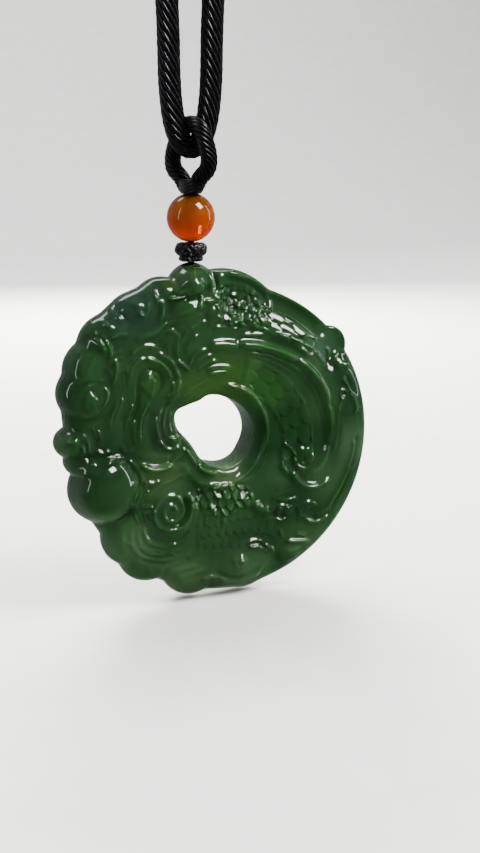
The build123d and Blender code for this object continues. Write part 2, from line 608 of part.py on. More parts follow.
# Necklace cord, a whole loop from one end in the clasp down round the fold and back to the other end
clasp_z = -clasp_diameter / 2
right_side = [
    (0.4, 0, clasp_z),
    (crown_shoulder, 0, clasp_z),
    (crown_half_width + 2.0, 0, clasp_z - crown_height),
    (straight_half_width, 0, fold_z + straight_height),
    (fold_half_width, 0, fold_z),
]
left_side = [(-x, y, z) for x, y, z in right_side]
necklace_route = right_side + list(reversed(left_side))
necklace_radii = corner_radii(necklace_route)
print("necklace_cord radii", [round(radius, 2) for radius in necklace_radii])
with BuildPart() as necklace_cord:
    with BuildLine() as necklace_line:
        FilletPolyline(*necklace_route, radius=necklace_radii)
    with BuildSketch(Plane(necklace_route[0], z_dir=(1, 0, 0))):
        Circle(necklace_cord_diameter / 2)
    sweep(path=necklace_line.wire())
necklace_cord.part.label = "necklace_cord"
export_step(necklace_cord.part, "parts/necklace_cord.step")
necklace_expected = necklace_line.wire().length * math.pi * necklace_cord_diameter ** 2 / 4
print("necklace_cord length", round(necklace_line.wire().length, 1))
print("necklace_cord volume", round(necklace_cord.part.volume, 1), "section x length", round(necklace_expected, 1))

# Plain closing barrel round the two ends of the necklace cord
with BuildPart() as cord_clasp:
    with Locations((0, 0, clasp_z)):
        Cylinder(clasp_diameter / 2, clasp_length, rotation=(0, 90, 0))
    chamfer(cord_clasp.edges().filter_by(GeomType.CIRCLE), clasp_edge)
    with Locations((0, 0, clasp_z)):
        Cylinder(
            necklace_cord_diameter / 2 + clasp_clearance,
            clasp_length + 1.0,
            rotation=(0, 90, 0),
            mode=Mode.SUBTRACT,
        )
cord_clasp.part.label = "cord_clasp"
export_step(cord_clasp.part, "parts/cord_clasp.step")

for piece in (jade_dragon, lower_knot, carnelian_bead, bead_thread, bail_loop, necklace_cord, cord_clasp):
    box = piece.part.bounding_box()
    size = (round(box.size.X, 2), round(box.size.Y, 2), round(box.size.Z, 2))
    print(piece.part.label, round(piece.part.volume, 2), size, piece.part.is_valid, len(piece.part.solids()))
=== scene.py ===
import bpy
import math
import numpy as np
from collections import namedtuple
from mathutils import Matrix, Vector


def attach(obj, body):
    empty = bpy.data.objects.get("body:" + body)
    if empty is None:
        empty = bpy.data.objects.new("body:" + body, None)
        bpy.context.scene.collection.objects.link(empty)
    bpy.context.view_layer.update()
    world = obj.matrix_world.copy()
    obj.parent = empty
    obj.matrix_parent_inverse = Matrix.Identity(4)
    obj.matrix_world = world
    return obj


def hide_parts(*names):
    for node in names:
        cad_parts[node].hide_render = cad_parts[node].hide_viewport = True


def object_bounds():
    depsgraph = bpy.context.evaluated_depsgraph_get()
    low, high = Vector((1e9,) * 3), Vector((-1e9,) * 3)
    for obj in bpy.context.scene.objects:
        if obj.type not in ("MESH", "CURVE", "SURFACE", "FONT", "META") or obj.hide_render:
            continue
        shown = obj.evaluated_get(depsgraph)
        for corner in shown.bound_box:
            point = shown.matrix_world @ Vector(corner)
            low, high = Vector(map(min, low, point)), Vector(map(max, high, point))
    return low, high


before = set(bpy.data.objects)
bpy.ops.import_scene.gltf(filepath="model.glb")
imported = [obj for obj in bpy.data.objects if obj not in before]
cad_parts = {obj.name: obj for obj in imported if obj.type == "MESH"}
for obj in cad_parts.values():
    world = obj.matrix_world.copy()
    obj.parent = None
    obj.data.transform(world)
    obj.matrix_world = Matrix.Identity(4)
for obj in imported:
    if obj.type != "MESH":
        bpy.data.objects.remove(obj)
cad_low, cad_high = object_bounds()

MM = 0.001
TURN = 2.0 * math.pi


def table(columns, rows):
    # Rows whose columns have names
    Row = namedtuple("Row", columns)
    return [Row(*row) for row in rows]


# Sizes shared with the solids, in millimetres, and one angle in degrees
body_half = 3.6
edge_width = 3.5
bore_radius = 6.5
bore_half = 2.3
bore_edge_width = 1.8
bore_edge_angle = 20.0
bore_offset_x = -1.0
bore_offset_z = 0.7
bead_diameter = 7.7
thread_hole_diameter = 1.6
thread_hole_depth = 4.5
knot_height = 2.1
knot_foot_height = 0.8
piece_gap = 0.1
necklace_cord_diameter = 3.6
bail_cord_diameter = 2.7
fold_half_width = 3.5
bail_rise = 3.5
bail_half_depth = 4.0
bail_drop = 6.9
necklace_drop = 201.0
straight_height = 28.0
straight_half_width = 3.6
crown_half_width = 14.0
crown_height = 9.0
crown_shoulder = 10.5
clasp_length = 14.0
clasp_diameter = 6.0
clasp_clearance = 0.15
clasp_edge = 0.6

# Heights of the pieces on the hang line, from the clasp down
clasp_z = -clasp_diameter / 2
fold_z = clasp_z - necklace_drop
bead_z = fold_z - bail_drop - piece_gap - bead_diameter / 2
knot_z = bead_z - bead_diameter / 2 - piece_gap - knot_height / 2
knot_foot_z = knot_z - knot_height / 2 - knot_foot_height / 2
boss_top_z = knot_foot_z - knot_foot_height / 2 - piece_gap

# Round lobes whose union is the outline of the disc
outline_lobes = table("name x z radius", [
    ("disc", 0.0, 0.0, 25.4),
    ("right rim", 1.6, -1.1, 26.0),
    ("head", -6.4, 6.2, 20.2),
    ("leaf", 20.5, 14.4, 2.9),
    ("fin", 0.4, 16.5, 11.2),
    ("boss", -4.6, 24.9, 3.9),
    ("boss shoulder", -9.9, 22.2, 4.5),
    ("upper horn", -14.2, 19.7, 4.8),
    ("lower horn", -18.8, 16.2, 5.0),
    ("crown", -21.5, 12.5, 4.8),
    ("brow", -23.2, 8.8, 4.3),
    ("nose", -25.7, 0.9, 2.4),
    ("lip", -24.3, -2.2, 2.3),
    ("pearl", -20.5, -7.2, 5.5),
    ("beard", -15.8, -15.9, 4.8),
    ("lower cloud", -13.0, -19.0, 4.8),
    ("bottom cloud", -5.3, -22.3, 4.95),
    ("bottom scroll", 4.2, -21.7, 5.6),
    ("small lobe", 12.3, -21.4, 2.6),
])
boss = [lobe for lobe in outline_lobes if lobe.name == "boss"][0]
disc_x = -boss.x
disc_z = boss_top_z - piece_gap - (boss.z + boss.radius)

# Reach of the bore from its middle at each angle, as a share of its radius
bore_rows_by_angle = table("angle share", [
    (0, 1.00),
    (15, 0.98),
    (30, 0.96),
    (45, 0.945),
    (60, 0.94),
    (75, 0.955),
    (90, 1.005),
    (105, 1.05),
    (120, 1.03),
    (135, 1.145),
    (150, 1.30),
    (165, 1.15),
    (180, 0.885),
    (195, 0.75),
    (210, 0.715),
    (225, 0.735),
    (240, 0.77),
    (255, 0.815),
    (270, 0.855),
    (285, 0.925),
    (300, 0.985),
    (315, 1.01),
    (330, 0.99),
    (345, 1.00),
])

# Round swellings of the front
domes = table("name x z length width tilt height", [
    ("pearl", -20.9, -6.7, 5.8, 5.8, 0, 3.2),
    ("boss", -6.0, 26.9, 3.3, 3.2, 0, 1.2),
    ("boss hollow lip", -5.2, 25.3, 1.9, 1.2, -28, 0.7),
    ("boss tongue", -6.6, 22.0, 3.2, 1.5, 10, 1.1),
    ("fin root", -2.4, 21.1, 1.3, 0.9, 25, 0.55),
    ("brow", -23.8, 13.6, 4.4, 3.2, 60, 0.9),
    ("eye", -23.1, 8.1, 1.5, 1.2, 0, 0.5),
    ("eyeball", -23.1, 8.2, 3.6, 2.9, 20, 0.7),
    ("nose", -26.6, 1.6, 2.6, 2.1, 60, 0.9),
    ("nostril", -24.4, 2.8, 0.9, 0.7, 90, 0.4),
    ("cheek", -19.8, 2.0, 3.4, 2.2, 70, 0.6),
    ("ear", -20.6, 16.6, 2.6, 1.2, -58, 0.6),
    ("lock tip", -9.3, 1.2, 2.4, 1.6, 90, 0.6),
    ("jaw", -11.6, -4.9, 5.4, 1.8, 8, 0.5),
    ("lower horn", -19.0, 19.6, 2.6, 2.2, 30, 0.5),
    ("upper horn", -14.3, 22.4, 3.2, 2.8, 30, 0.5),
    ("inner lock", -13.3, 10.2, 1.9, 1.0, 80, 0.5),
    ("mane spot", -16.7, 12.5, 1.0, 1.0, 0, 0.35),
    ("leaf", 18.8, 14.6, 3.4, 2.5, -58, 0.55),
    ("bottom scroll", 3.6, -21.6, 4.8, 3.8, 0, 0.7),
    ("scroll middle", 2.7, -21.3, 1.3, 1.3, 0, 0.5),
    ("small lobe", 11.8, -21.2, 2.6, 1.8, 10, 0.6),
    ("beard", -16.4, -15.4, 4.2, 2.8, -60, 0.4),
    ("spiral middle", -9.7, -11.2, 5.4, 5.4, 0, 0.7),
    ("tail tip", 14.6, -4.0, 1.7, 1.4, 0, 0.5),
    ("leaf foot", 21.2, 12.0, 1.7, 1.3, 70, 0.55),
    ("rim bud", 22.6, 3.7, 1.9, 1.9, 0, 0.4),
    ("rim knob", 22.6, 10.9, 0.9, 0.7, 60, 0.4),
])

# Raised lines along arcs and spirals, with a negative height for a groove
strokes = table("name x z start_radius end_radius start_angle end_angle width height", [
    ("body field", 0.6, -1.0, 13.2, 13.2, 78, -44, 2.9, -0.7),
    ("body band", 0.6, -2.3, 20.6, 20.8, 62, -22, 1.5, 0.35),
    ("scale band", 0.6, -2.3, 22.4, 22.4, 92, 40, 1.8, 0.3),
    ("back slope", 0.6, -2.3, 25.4, 25.4, 96, 30, 3.4, -2.2),
    ("hole band", -1.0, 0.7, 7.9, 8.2, -150, -60, 0.75, 0.35),
    ("hole lip", -1.0, 0.7, 8.3, 8.4, -84, 92, 0.42, 0.62),
    ("hole cove", -1.0, 0.7, 7.1, 7.1, -70, 80, 0.75, -0.45),
    ("beard spiral", -9.8, -11.1, 0.6, 3.9, 0, 760, 0.38, 0.42),
    ("rim small curl", 22.6, 3.8, 1.7, 1.9, -60, 230, 0.4, 0.45),
    ("rim small curl inner", 21.6, 5.8, 0.9, 0.5, 0, 300, 0.35, 0.4),
    ("lower small curl", 10.7, -13.6, 0.9, 1.4, 0, 300, 0.35, 0.35),
    ("rim curl spiral", 15.9, -14.3, 0.8, 1.5, 20, 300, 0.35, 0.35),
])

# Raised lines traced by their start, middle and end, with a negative height for a groove
fold_columns = "name x0 z0 xm zm x1 z1 width height"
boss_folds = [
    ("rim", -4.8, 28.4, -2.6, 26.9, -3.0, 24.3, 0.45, 0.9),
    ("groove", -3.4, 28.2, -1.5, 26.4, -2.1, 23.8, 0.42, -0.9),
    ("wave", -10.9, 24.5, -8.2, 24.6, -6.2, 25.6, 0.34, 0.85),
    ("second wave", -10.2, 23.6, -8.4, 23.6, -6.4, 23.9, 0.3, 0.7),
    ("back edge", -11.6, 26.0, -9.8, 26.6, -8.2, 27.4, 0.42, 0.6),
    ("cross line", -4.3, 24.0, -4.5, 22.9, -5.4, 21.7, 0.3, 0.7),
    ("wave to fin", -4.2, 23.1, -2.2, 23.0, -0.7, 24.0, 0.3, 0.6),
    ("flow under boss", -11.0, 20.0, -7.5, 21.2, -4.5, 22.0, 0.5, 0.35),
    ("second flow under boss", -12.5, 18.6, -8.5, 20.0, -3.5, 21.0, 0.5, 0.35),
]
fin_folds = [
    ("edge left", -1.3, 26.6, 1.6, 27.0, 4.9, 26.2, 0.42, 0.78),
    ("edge right", 4.0, 26.6, 7.2, 24.9, 8.85, 22.1, 0.42, 0.78),
    ("hook", 8.85, 22.8, 8.3, 21.0, 6.6, 21.4, 0.4, 0.72),
    ("hook end", 7.1, 21.1, 6.4, 21.7, 6.9, 22.3, 0.32, 0.6),
    ("inner line left", -0.9, 24.2, 0.2, 25.5, 3.4, 25.4, 0.3, 0.4),
    ("inner line right", 2.2, 25.6, 5.4, 24.4, 7.5, 22.2, 0.3, 0.4),
    ("channel", 0.0, 26.3, 4.3, 25.6, 7.8, 22.6, 0.5, -0.45),
    ("lower left", -2.9, 18.3, -1.8, 19.9, -0.2, 20.5, 0.3, 0.4),
    ("lower ridge", 0.4, 18.9, 1.9, 19.35, 3.3, 19.8, 0.4, 0.5),
    ("lower left second", -2.4, 18.3, -1.2, 18.6, 0.2, 18.3, 0.3, 0.3),
    ("base", 2.6, 17.1, 5.0, 17.1, 7.4, 16.9, 0.3, 0.3),
]
body_folds = [
    ("start", -3.2, 15.6, -0.4, 15.8, 2.6, 15.2, 0.72, 0.85),
    ("start under", -2.6, 14.9, -0.2, 15.0, 2.4, 14.5, 0.3, 0.4),
    ("ridge top", 0.6, 15.7, 7.6, 14.8, 13.8, 11.9, 0.6, 1.0),
    ("ridge middle", 12.2, 13.0, 16.8, 8.7, 18.9, 3.4, 0.6, 1.0),
    ("ridge low", 18.3, 5.4, 19.3, 0.6, 18.6, -3.4, 0.6, 0.95),
    ("ridge end", 19.0, -1.6, 17.8, -5.6, 14.8, -7.2, 0.55, 0.8),
    ("inner line top", 3.5, 14.1, 9.2, 12.9, 14.0, 9.6, 0.3, 0.4),
    ("second inner line top", 4.5, 13.3, 9.0, 12.1, 13.2, 9.0, 0.22, 0.25),
    ("inner line middle", 12.6, 10.8, 16.2, 7.0, 18.0, 2.0, 0.3, 0.4),
    ("inner line low", 17.6, 3.6, 18.2, 0.0, 17.4, -4.2, 0.3, 0.35),
    ("inner groove", 16.5, 5.5, 18.2, 0.5, 17.2, -4.6, 0.5, -0.4),
    ("outer line", 19.6, 5.5, 20.5, 0.5, 19.6, -5.0, 0.45, 0.25),
    ("second outer line", 21.6, 1.0, 21.4, -2.0, 20.8, -4.8, 0.45, 0.22),
    ("scale field edge", 6.8, 17.1, 11.9, 16.1, 17.2, 12.9, 0.3, 0.4),
]
leaf_folds = [
    ("outer edge", 16.4, 17.9, 18.8, 17.1, 20.6, 15.6, 0.35, 0.5),
    ("left bowl", 16.4, 13.8, 17.4, 12.4, 18.9, 11.2, 0.32, 0.5),
    ("right bowl", 19.2, 11.4, 20.1, 11.8, 20.7, 12.9, 0.36, 0.5),
    ("inner bowl", 18.6, 13.9, 19.6, 13.1, 19.0, 12.0, 0.32, 0.35),
    ("rim band upper", 21.9, 9.4, 23.7, 6.6, 25.0, 2.8, 0.4, -0.5),
    ("rim band upper lip", 21.2, 9.0, 23.0, 6.4, 24.2, 3.0, 0.35, 0.3),
]
tail_folds = [
    ("belly end line", 5.2, -11.2, 6.3, -12.5, 8.3, -13.0, 0.7, 0.8),
    ("hook left", 10.5, -1.7, 10.6, -5.6, 12.9, -7.9, 0.45, 0.45),
    ("hook", 11.6, -5.6, 15.2, -9.6, 20.2, -7.9, 0.55, 0.95),
    ("hook inside", 12.7, -3.6, 13.4, -5.9, 16.0, -6.2, 0.4, 0.55),
    ("tip", 13.2, -5.3, 15.4, -5.4, 16.3, -3.3, 0.4, 0.55),
    ("tip top", 10.2, -1.6, 12.1, -2.8, 12.9, -4.8, 0.4, 0.45),
    ("rim curl top", 14.2, -13.6, 15.5, -12.5, 17.3, -13.8, 0.36, 0.5),
    ("rim curl left", 15.2, -12.6, 13.9, -13.9, 14.8, -15.4, 0.36, 0.4),
    ("rim curl bottom", 14.8, -15.2, 17.2, -16.1, 19.8, -14.9, 0.4, 0.55),
    ("rim curl to lip", 16.6, -15.7, 18.4, -14.4, 20.0, -12.9, 0.4, 0.5),
    ("rim lip low", 18.0, -15.0, 21.6, -10.4, 23.4, -6.4, 0.4, 0.5),
    ("rim lip high", 22.7, -8.2, 23.8, -4.8, 24.2, -2.0, 0.4, 0.45),
    ("rim groove low", 19.4, -14.6, 21.9, -11.0, 23.6, -6.6, 0.35, -0.6),
    ("rim groove high", 23.1, -7.8, 24.3, -4.5, 24.5, -1.0, 0.35, -0.55),
]
horn_folds = [
    ("divide upper", -11.8, 25.9, -12.1, 24.2, -11.1, 22.9, 0.33, 0.68),
    ("divide lower", -11.0, 23.6, -10.85, 21.8, -11.3, 20.0, 0.33, 0.6),
    ("ring outer", -13.3, 25.6, -12.9, 22.9, -14.6, 19.8, 0.33, 0.28),
    ("ring left", -15.2, 24.6, -16.8, 22.4, -15.8, 20.3, 0.33, 0.34),
    ("ring inner", -14.2, 24.0, -15.9, 22.5, -15.2, 20.9, 0.28, 0.24),
    ("eye", -13.9, 23.2, -14.9, 21.9, -13.8, 20.7, 0.4, 0.62),
    ("eye back", -13.9, 23.1, -13.3, 22.3, -13.7, 21.5, 0.3, 0.3),
    ("gap upper", -18.2, 23.2, -17.4, 23.05, -16.4, 23.6, 0.28, 0.6),
    ("gap lower", -18.3, 22.9, -18.2, 21.5, -17.7, 20.0, 0.33, 0.83),
    ("lower horn outer", -21.2, 21.2, -21.4, 19.2, -20.1, 17.5, 0.36, 0.4),
    ("lower horn inner", -20.6, 20.5, -19.9, 19.9, -18.9, 19.3, 0.28, 0.52),
    ("lower horn bottom", -20.2, 17.6, -18.2, 18.2, -16.4, 17.9, 0.4, 0.3),
    ("ear left edge", -21.8, 18.3, -20.9, 17.0, -20.1, 15.3, 0.34, 0.9),
    ("ear right edge", -20.5, 17.6, -19.8, 16.2, -19.2, 14.8, 0.38, 0.9),
    ("ear valley", -21.3, 18.3, -20.35, 16.6, -19.6, 14.8, 0.28, -0.75),
    ("ear lower flow", -19.1, 14.9, -18.6, 12.6, -19.6, 10.0, 0.38, 0.52),
    ("mane start flow", -15.9, 17.5, -12.6, 18.2, -9.6, 20.4, 0.38, 0.52),
]
face_folds = [
    ("eye inner ring", -24.1, 8.2, -23.2, 9.4, -22.1, 8.2, 0.3, 0.22),
    ("eye inner ring low", -24.1, 8.0, -23.2, 7.0, -22.1, 8.0, 0.3, 0.22),
    ("eye ring top", -25.3, 7.6, -24.0, 10.2, -20.9, 10.9, 0.35, 0.32),
    ("eye ring low", -25.5, 7.0, -23.4, 5.8, -21.0, 7.1, 0.36, 0.36),
    ("eye ring right", -21.4, 6.8, -20.2, 8.4, -20.6, 10.4, 0.34, 0.32),
    ("eye second low", -24.0, 6.7, -22.2, 7.0, -21.2, 9.0, 0.25, 0.22),
    ("eye outer left", -26.4, 6.4, -26.5, 9.0, -25.6, 11.4, 0.3, 0.25),
    ("eye outer second", -25.7, 6.4, -25.9, 8.8, -25.0, 10.8, 0.25, 0.22),
    ("brow low edge", -25.8, 11.2, -23.0, 11.6, -20.4, 11.0, 0.4, 0.42),
    ("eye bag", -25.9, 5.9, -23.2, 4.7, -20.6, 5.6, 0.4, -0.22),
    ("nose bridge", -28.2, 3.2, -27.3, 3.5, -26.9, 5.2, 0.3, 0.48),
    ("nose wing top", -27.4, 1.2, -26.2, 2.0, -24.7, 1.2, 0.3, 0.48),
    ("nose wing side", -24.9, 1.4, -24.2, 0.4, -24.6, -0.6, 0.3, 0.42),
    ("nostril line", -26.6, 0.8, -25.8, 1.1, -25.1, 0.4, 0.25, 0.25),
    ("cheek crease", -24.4, 2.6, -23.4, 1.5, -23.3, -0.2, 0.3, 0.35),
    ("cheek line", -22.8, 3.8, -22.2, 2.8, -22.0, 1.8, 0.25, 0.3),
    ("second cheek line", -21.9, 3.5, -21.6, 2.6, -21.6, 1.8, 0.25, 0.3),
    ("upper lip edge", -22.4, 0.5, -21.2, -0.35, -19.8, 0.1, 0.34, 0.66),
    ("gum line", -26.8, -0.7, -24.8, -0.9, -22.4, -0.7, 0.3, -0.5),
    ("lip over pearl", -21.4, -2.4, -19.0, -1.3, -17.6, -2.1, 0.34, 0.6),
    ("cheek flow left", -18.2, 8.2, -19.4, 5.6, -20.0, 3.0, 0.35, 0.4),
    ("cheek flow right", -15.9, 6.2, -16.9, 4.8, -17.4, 2.2, 0.35, 0.35),
    ("cheek knob low", -18.0, 1.0, -17.2, -0.6, -15.6, 0.2, 0.4, 0.3),
    ("socket ring upper", -17.3, -1.8, -15.2, -3.6, -14.9, -6.2, 0.35, 0.35),
    ("socket ring lower", -14.9, -6.0, -15.2, -8.8, -16.6, -10.2, 0.35, 0.35),
    ("socket second ring", -14.3, -5.0, -14.1, -7.8, -15.3, -10.2, 0.3, 0.3),
    ("forehead one", -27.9, 11.6, -27.0, 13.2, -26.2, 14.0, 0.25, 0.35),
    ("forehead two", -27.2, 13.9, -26.4, 14.8, -25.6, 15.4, 0.25, 0.35),
    ("forehead three", -26.0, 13.7, -25.3, 14.4, -24.5, 15.0, 0.25, 0.35),
    ("forehead four", -25.4, 16.0, -24.6, 17.2, -23.9, 18.4, 0.25, 0.35),
    ("forehead five", -24.4, 15.2, -24.1, 16.4, -23.6, 17.4, 0.25, 0.35),
    ("forehead six", -23.8, 18.7, -23.1, 20.2, -22.2, 21.3, 0.25, 0.35),
]
mane_folds = [
    ("arch one left", -16.6, 14.4, -14.2, 16.2, -11.0, 15.4, 0.4, 0.4),
    ("arch one right", -12.4, 15.4, -9.2, 13.1, -8.35, 10.0, 0.4, 0.4),
    ("arch one low", -8.3, 11.2, -8.6, 8.2, -10.6, 6.2, 0.4, 0.45),
    ("arch two left", -16.5, 9.4, -15.9, 13.0, -13.2, 14.3, 0.4, 0.45),
    ("arch two right", -14.6, 14.3, -10.9, 13.0, -9.3, 9.8, 0.4, 0.5),
    ("arch two low", -9.4, 10.8, -9.2, 8.6, -10.8, 7.8, 0.35, 0.45),
    ("arch groove top", -15.1, 9.6, -14.1, 12.2, -12.2, 12.1, 0.35, -0.42),
    ("arch groove right", -13.4, 12.5, -11.0, 11.2, -11.8, 8.4, 0.35, -0.42),
    ("arch groove left", -15.1, 12.2, -15.1, 7.2, -16.6, 4.0, 0.35, -0.42),
    ("inner lock left", -14.4, 9.0, -13.9, 10.6, -12.8, 11.5, 0.35, 0.4),
    ("inner lock right", -13.3, 7.6, -12.5, 9.4, -12.3, 11.2, 0.35, 0.35),
    ("strand one", -13.0, 7.7, -14.6, 4.2, -14.8, 0.4, 0.35, 0.45),
    ("strand two", -15.8, 4.9, -15.8, 2.4, -15.6, 0.2, 0.35, 0.3),
    ("strand three", -17.6, 8.4, -18.2, 6.6, -19.5, 3.6, 0.3, 0.35),
    ("strand between", -16.0, 7.2, -16.4, 5.8, -17.6, 3.7, 0.3, 0.35),
    ("lock outer side", -10.9, 6.6, -11.9, 3.4, -11.3, 0.6, 0.34, 0.45),
    ("lock outer tip", -11.6, 1.3, -10.0, -0.8, -7.7, 0.2, 0.36, 0.6),
    ("lock middle side", -10.1, 6.4, -10.9, 3.6, -10.4, 1.0, 0.3, 0.35),
    ("lock inner tip", -10.2, 1.5, -9.2, 1.0, -8.2, 1.7, 0.3, 0.5),
    ("lock inner side", -9.5, 5.8, -9.9, 3.6, -9.7, 1.8, 0.25, 0.3),
    ("hollow beside lock", -12.6, 6.4, -13.2, 2.6, -12.0, -1.2, 0.9, -0.5),
    ("spot ridge one", -15.3, 17.1, -14.5, 17.15, -13.6, 17.2, 0.4, 0.3),
    ("spot ridge two", -10.6, 19.0, -9.6, 18.5, -8.4, 17.8, 0.45, 0.45),
    ("fan one", -8.3, 13.6, -8.4, 15.9, -8.0, 18.2, 0.35, 0.4),
    ("fan two", -7.7, 14.0, -7.7, 16.6, -5.9, 18.8, 0.3, 0.35),
    ("fan two end", -6.6, 18.2, -4.9, 19.3, -3.0, 19.6, 0.3, 0.3),
    ("fan three", -6.9, 14.2, -6.3, 16.4, -4.4, 17.6, 0.3, 0.35),
    ("fan four", -6.3, 12.2, -5.4, 14.5, -2.6, 15.0, 0.3, 0.35),
    ("fan five", -5.9, 11.6, -4.6, 13.6, -1.6, 14.1, 0.3, 0.3),
    ("fan six", -5.0, 11.4, -3.6, 12.8, -1.0, 13.2, 0.3, 0.3),
    ("fan cross ridge", -8.6, 13.7, -7.3, 12.7, -6.3, 11.8, 0.34, 0.5),
    ("hole arc top", -4.0, 11.8, -1.2, 12.3, 1.6, 11.8, 0.22, 0.35),
    ("hole arc middle", -3.7, 11.35, -1.2, 11.85, 1.4, 11.4, 0.2, 0.3),
    ("hole arc low", -3.2, 10.95, -1.4, 11.3, 0.6, 11.3, 0.28, 0.4),
    ("flow to hole one", -8.6, 8.2, -5.6, 9.2, -3.2, 10.2, 0.4, 0.25),
    ("flow to hole two", -9.4, 7.2, -6.6, 8.0, -4.2, 8.8, 0.4, 0.25),
]
jaw_folds = [
    ("smile", -15.4, -2.6, -12.2, -3.8, -9.0, -3.0, 0.5, 0.85),
    ("smile end", -10.4, -3.5, -8.2, -1.9, -7.0, -0.7, 0.35, 0.4),
    ("ridge", -14.0, -5.7, -12.8, -6.1, -11.4, -5.7, 0.34, 0.5),
    ("lower edge", -14.6, -9.2, -11.6, -6.8, -6.0, -4.8, 0.45, 0.4),
    ("spot", -13.7, -7.2, -13.6, -7.7, -13.5, -8.2, 0.3, 0.3),
    ("crest", -15.6, -1.0, -12.4, -2.0, -9.2, -1.6, 0.8, 0.25),
    ("beard root one", -14.8, -10.1, -13.9, -10.0, -12.7, -10.2, 0.24, 0.4),
    ("beard root two", -15.0, -10.9, -13.6, -10.95, -12.3, -10.8, 0.26, 0.45),
    ("hole lip low left", -4.9, -3.7, -3.6, -5.1, -1.0, -5.55, 0.36, 0.6),
    ("hole lip bottom", -1.4, -5.5, 0.8, -5.6, 2.6, -5.0, 0.36, 0.5),
    ("hole side line", -7.2, -0.9, -6.0, -2.6, -5.0, -4.2, 0.26, 0.35),
    ("band low edge", -6.4, -5.9, -2.4, -7.6, 2.0, -7.5, 0.4, 0.4),
    ("band low edge right", 1.6, -7.6, 5.0, -6.6, 7.2, -4.2, 0.4, 0.4),
]
beard_folds = [
    ("sweep one", -14.4, -12.6, -13.4, -16.2, -9.2, -17.25, 0.42, 0.28),
    ("sweep one right", -11.0, -17.1, -7.8, -16.4, -6.2, -14.2, 0.42, 0.28),
    ("dark groove ring", -7.9, -8.7, -7.05, -11.8, -9.6, -14.4, 0.36, -0.7),
    ("dark groove outer", -6.4, -14.4, -7.7, -16.1, -9.8, -16.9, 0.3, -0.5),
    ("sweep two", -15.4, -13.2, -14.4, -17.4, -9.8, -18.5, 0.36, 0.25),
    ("sweep two right", -12.0, -18.3, -8.2, -18.1, -5.6, -16.3, 0.36, 0.25),
    ("sweep three", -16.4, -13.0, -15.9, -17.4, -11.2, -19.6, 0.36, 0.25),
    ("sweep three right", -13.8, -19.0, -9.0, -19.5, -5.5, -17.5, 0.36, 0.25),
    ("sweep four", -17.8, -13.4, -17.4, -17.6, -12.8, -20.4, 0.36, 0.22),
    ("sweep four right", -15.4, -19.4, -11.0, -20.8, -7.8, -19.8, 0.36, 0.19),
    ("beard edge", -19.9, -14.8, -19.2, -17.0, -17.0, -18.1, 0.36, 0.5),
    ("beard shadow", -21.4, -12.9, -18.2, -11.6, -15.4, -10.4, 0.6, -0.7),
    ("small bump row", -7.0, -20.0, -5.6, -19.2, -4.2, -18.4, 0.4, 0.2),
    ("cloud spot", -12.2, -21.1, -11.6, -21.1, -11.0, -21.2, 0.3, 0.3),
    ("bottom cloud edge", -4.4, -24.2, -2.6, -23.6, -1.4, -24.2, 0.4, 0.4),
    ("bottom cloud flow", -11.0, -22.3, -8.0, -21.6, -4.4, -21.4, 0.5, 0.3),
    ("bottom cloud second", -9.4, -23.6, -6.6, -22.6, -3.2, -22.2, 0.5, 0.3),
    ("scroll top line", 3.3, -18.6, 5.4, -18.0, 7.4, -19.2, 0.26, 0.4),
    ("scroll top ridge", 4.0, -19.0, 5.2, -19.1, 6.4, -19.0, 0.3, 0.5),
    ("scroll top end", 6.8, -19.1, 8.2, -19.6, 8.9, -20.8, 0.34, 0.5),
    ("scroll top second", 4.4, -19.4, 6.6, -19.6, 8.0, -20.8, 0.28, 0.35),
    ("scroll centre", 1.4, -19.8, 1.8, -21.9, 3.6, -22.3, 0.3, 0.4),
    ("scroll dot", 2.0, -21.0, 2.6, -21.1, 3.2, -21.0, 0.35, 0.4),
    ("scroll rim", -1.8, -23.1, 2.6, -25.2, 7.3, -22.7, 0.4, 0.45),
    ("scroll groove", -1.8, -22.4, 2.6, -24.4, 6.6, -22.4, 0.4, -0.35),
    ("small lobe top", 11.2, -19.0, 13.6, -19.2, 16.2, -19.5, 0.34, 0.55),
    ("small lobe second", 13.0, -17.9, 14.2, -18.1, 15.2, -18.5, 0.3, 0.3),
    ("small lobe side", 10.4, -16.6, 10.3, -17.6, 11.1, -18.2, 0.3, 0.35),
    ("lower curl top", 9.2, -12.6, 10.9, -13.1, 12.4, -12.7, 0.34, 0.4),
    ("lower curl groove", 9.0, -13.0, 9.6, -14.4, 11.6, -14.4, 0.34, -0.5),
    ("lower curl flow", 9.0, -11.3, 11.5, -11.7, 13.6, -11.3, 0.34, 0.3),
    ("right flow", 13.2, -12.6, 13.7, -14.4, 13.4, -16.0, 0.34, 0.3),
]
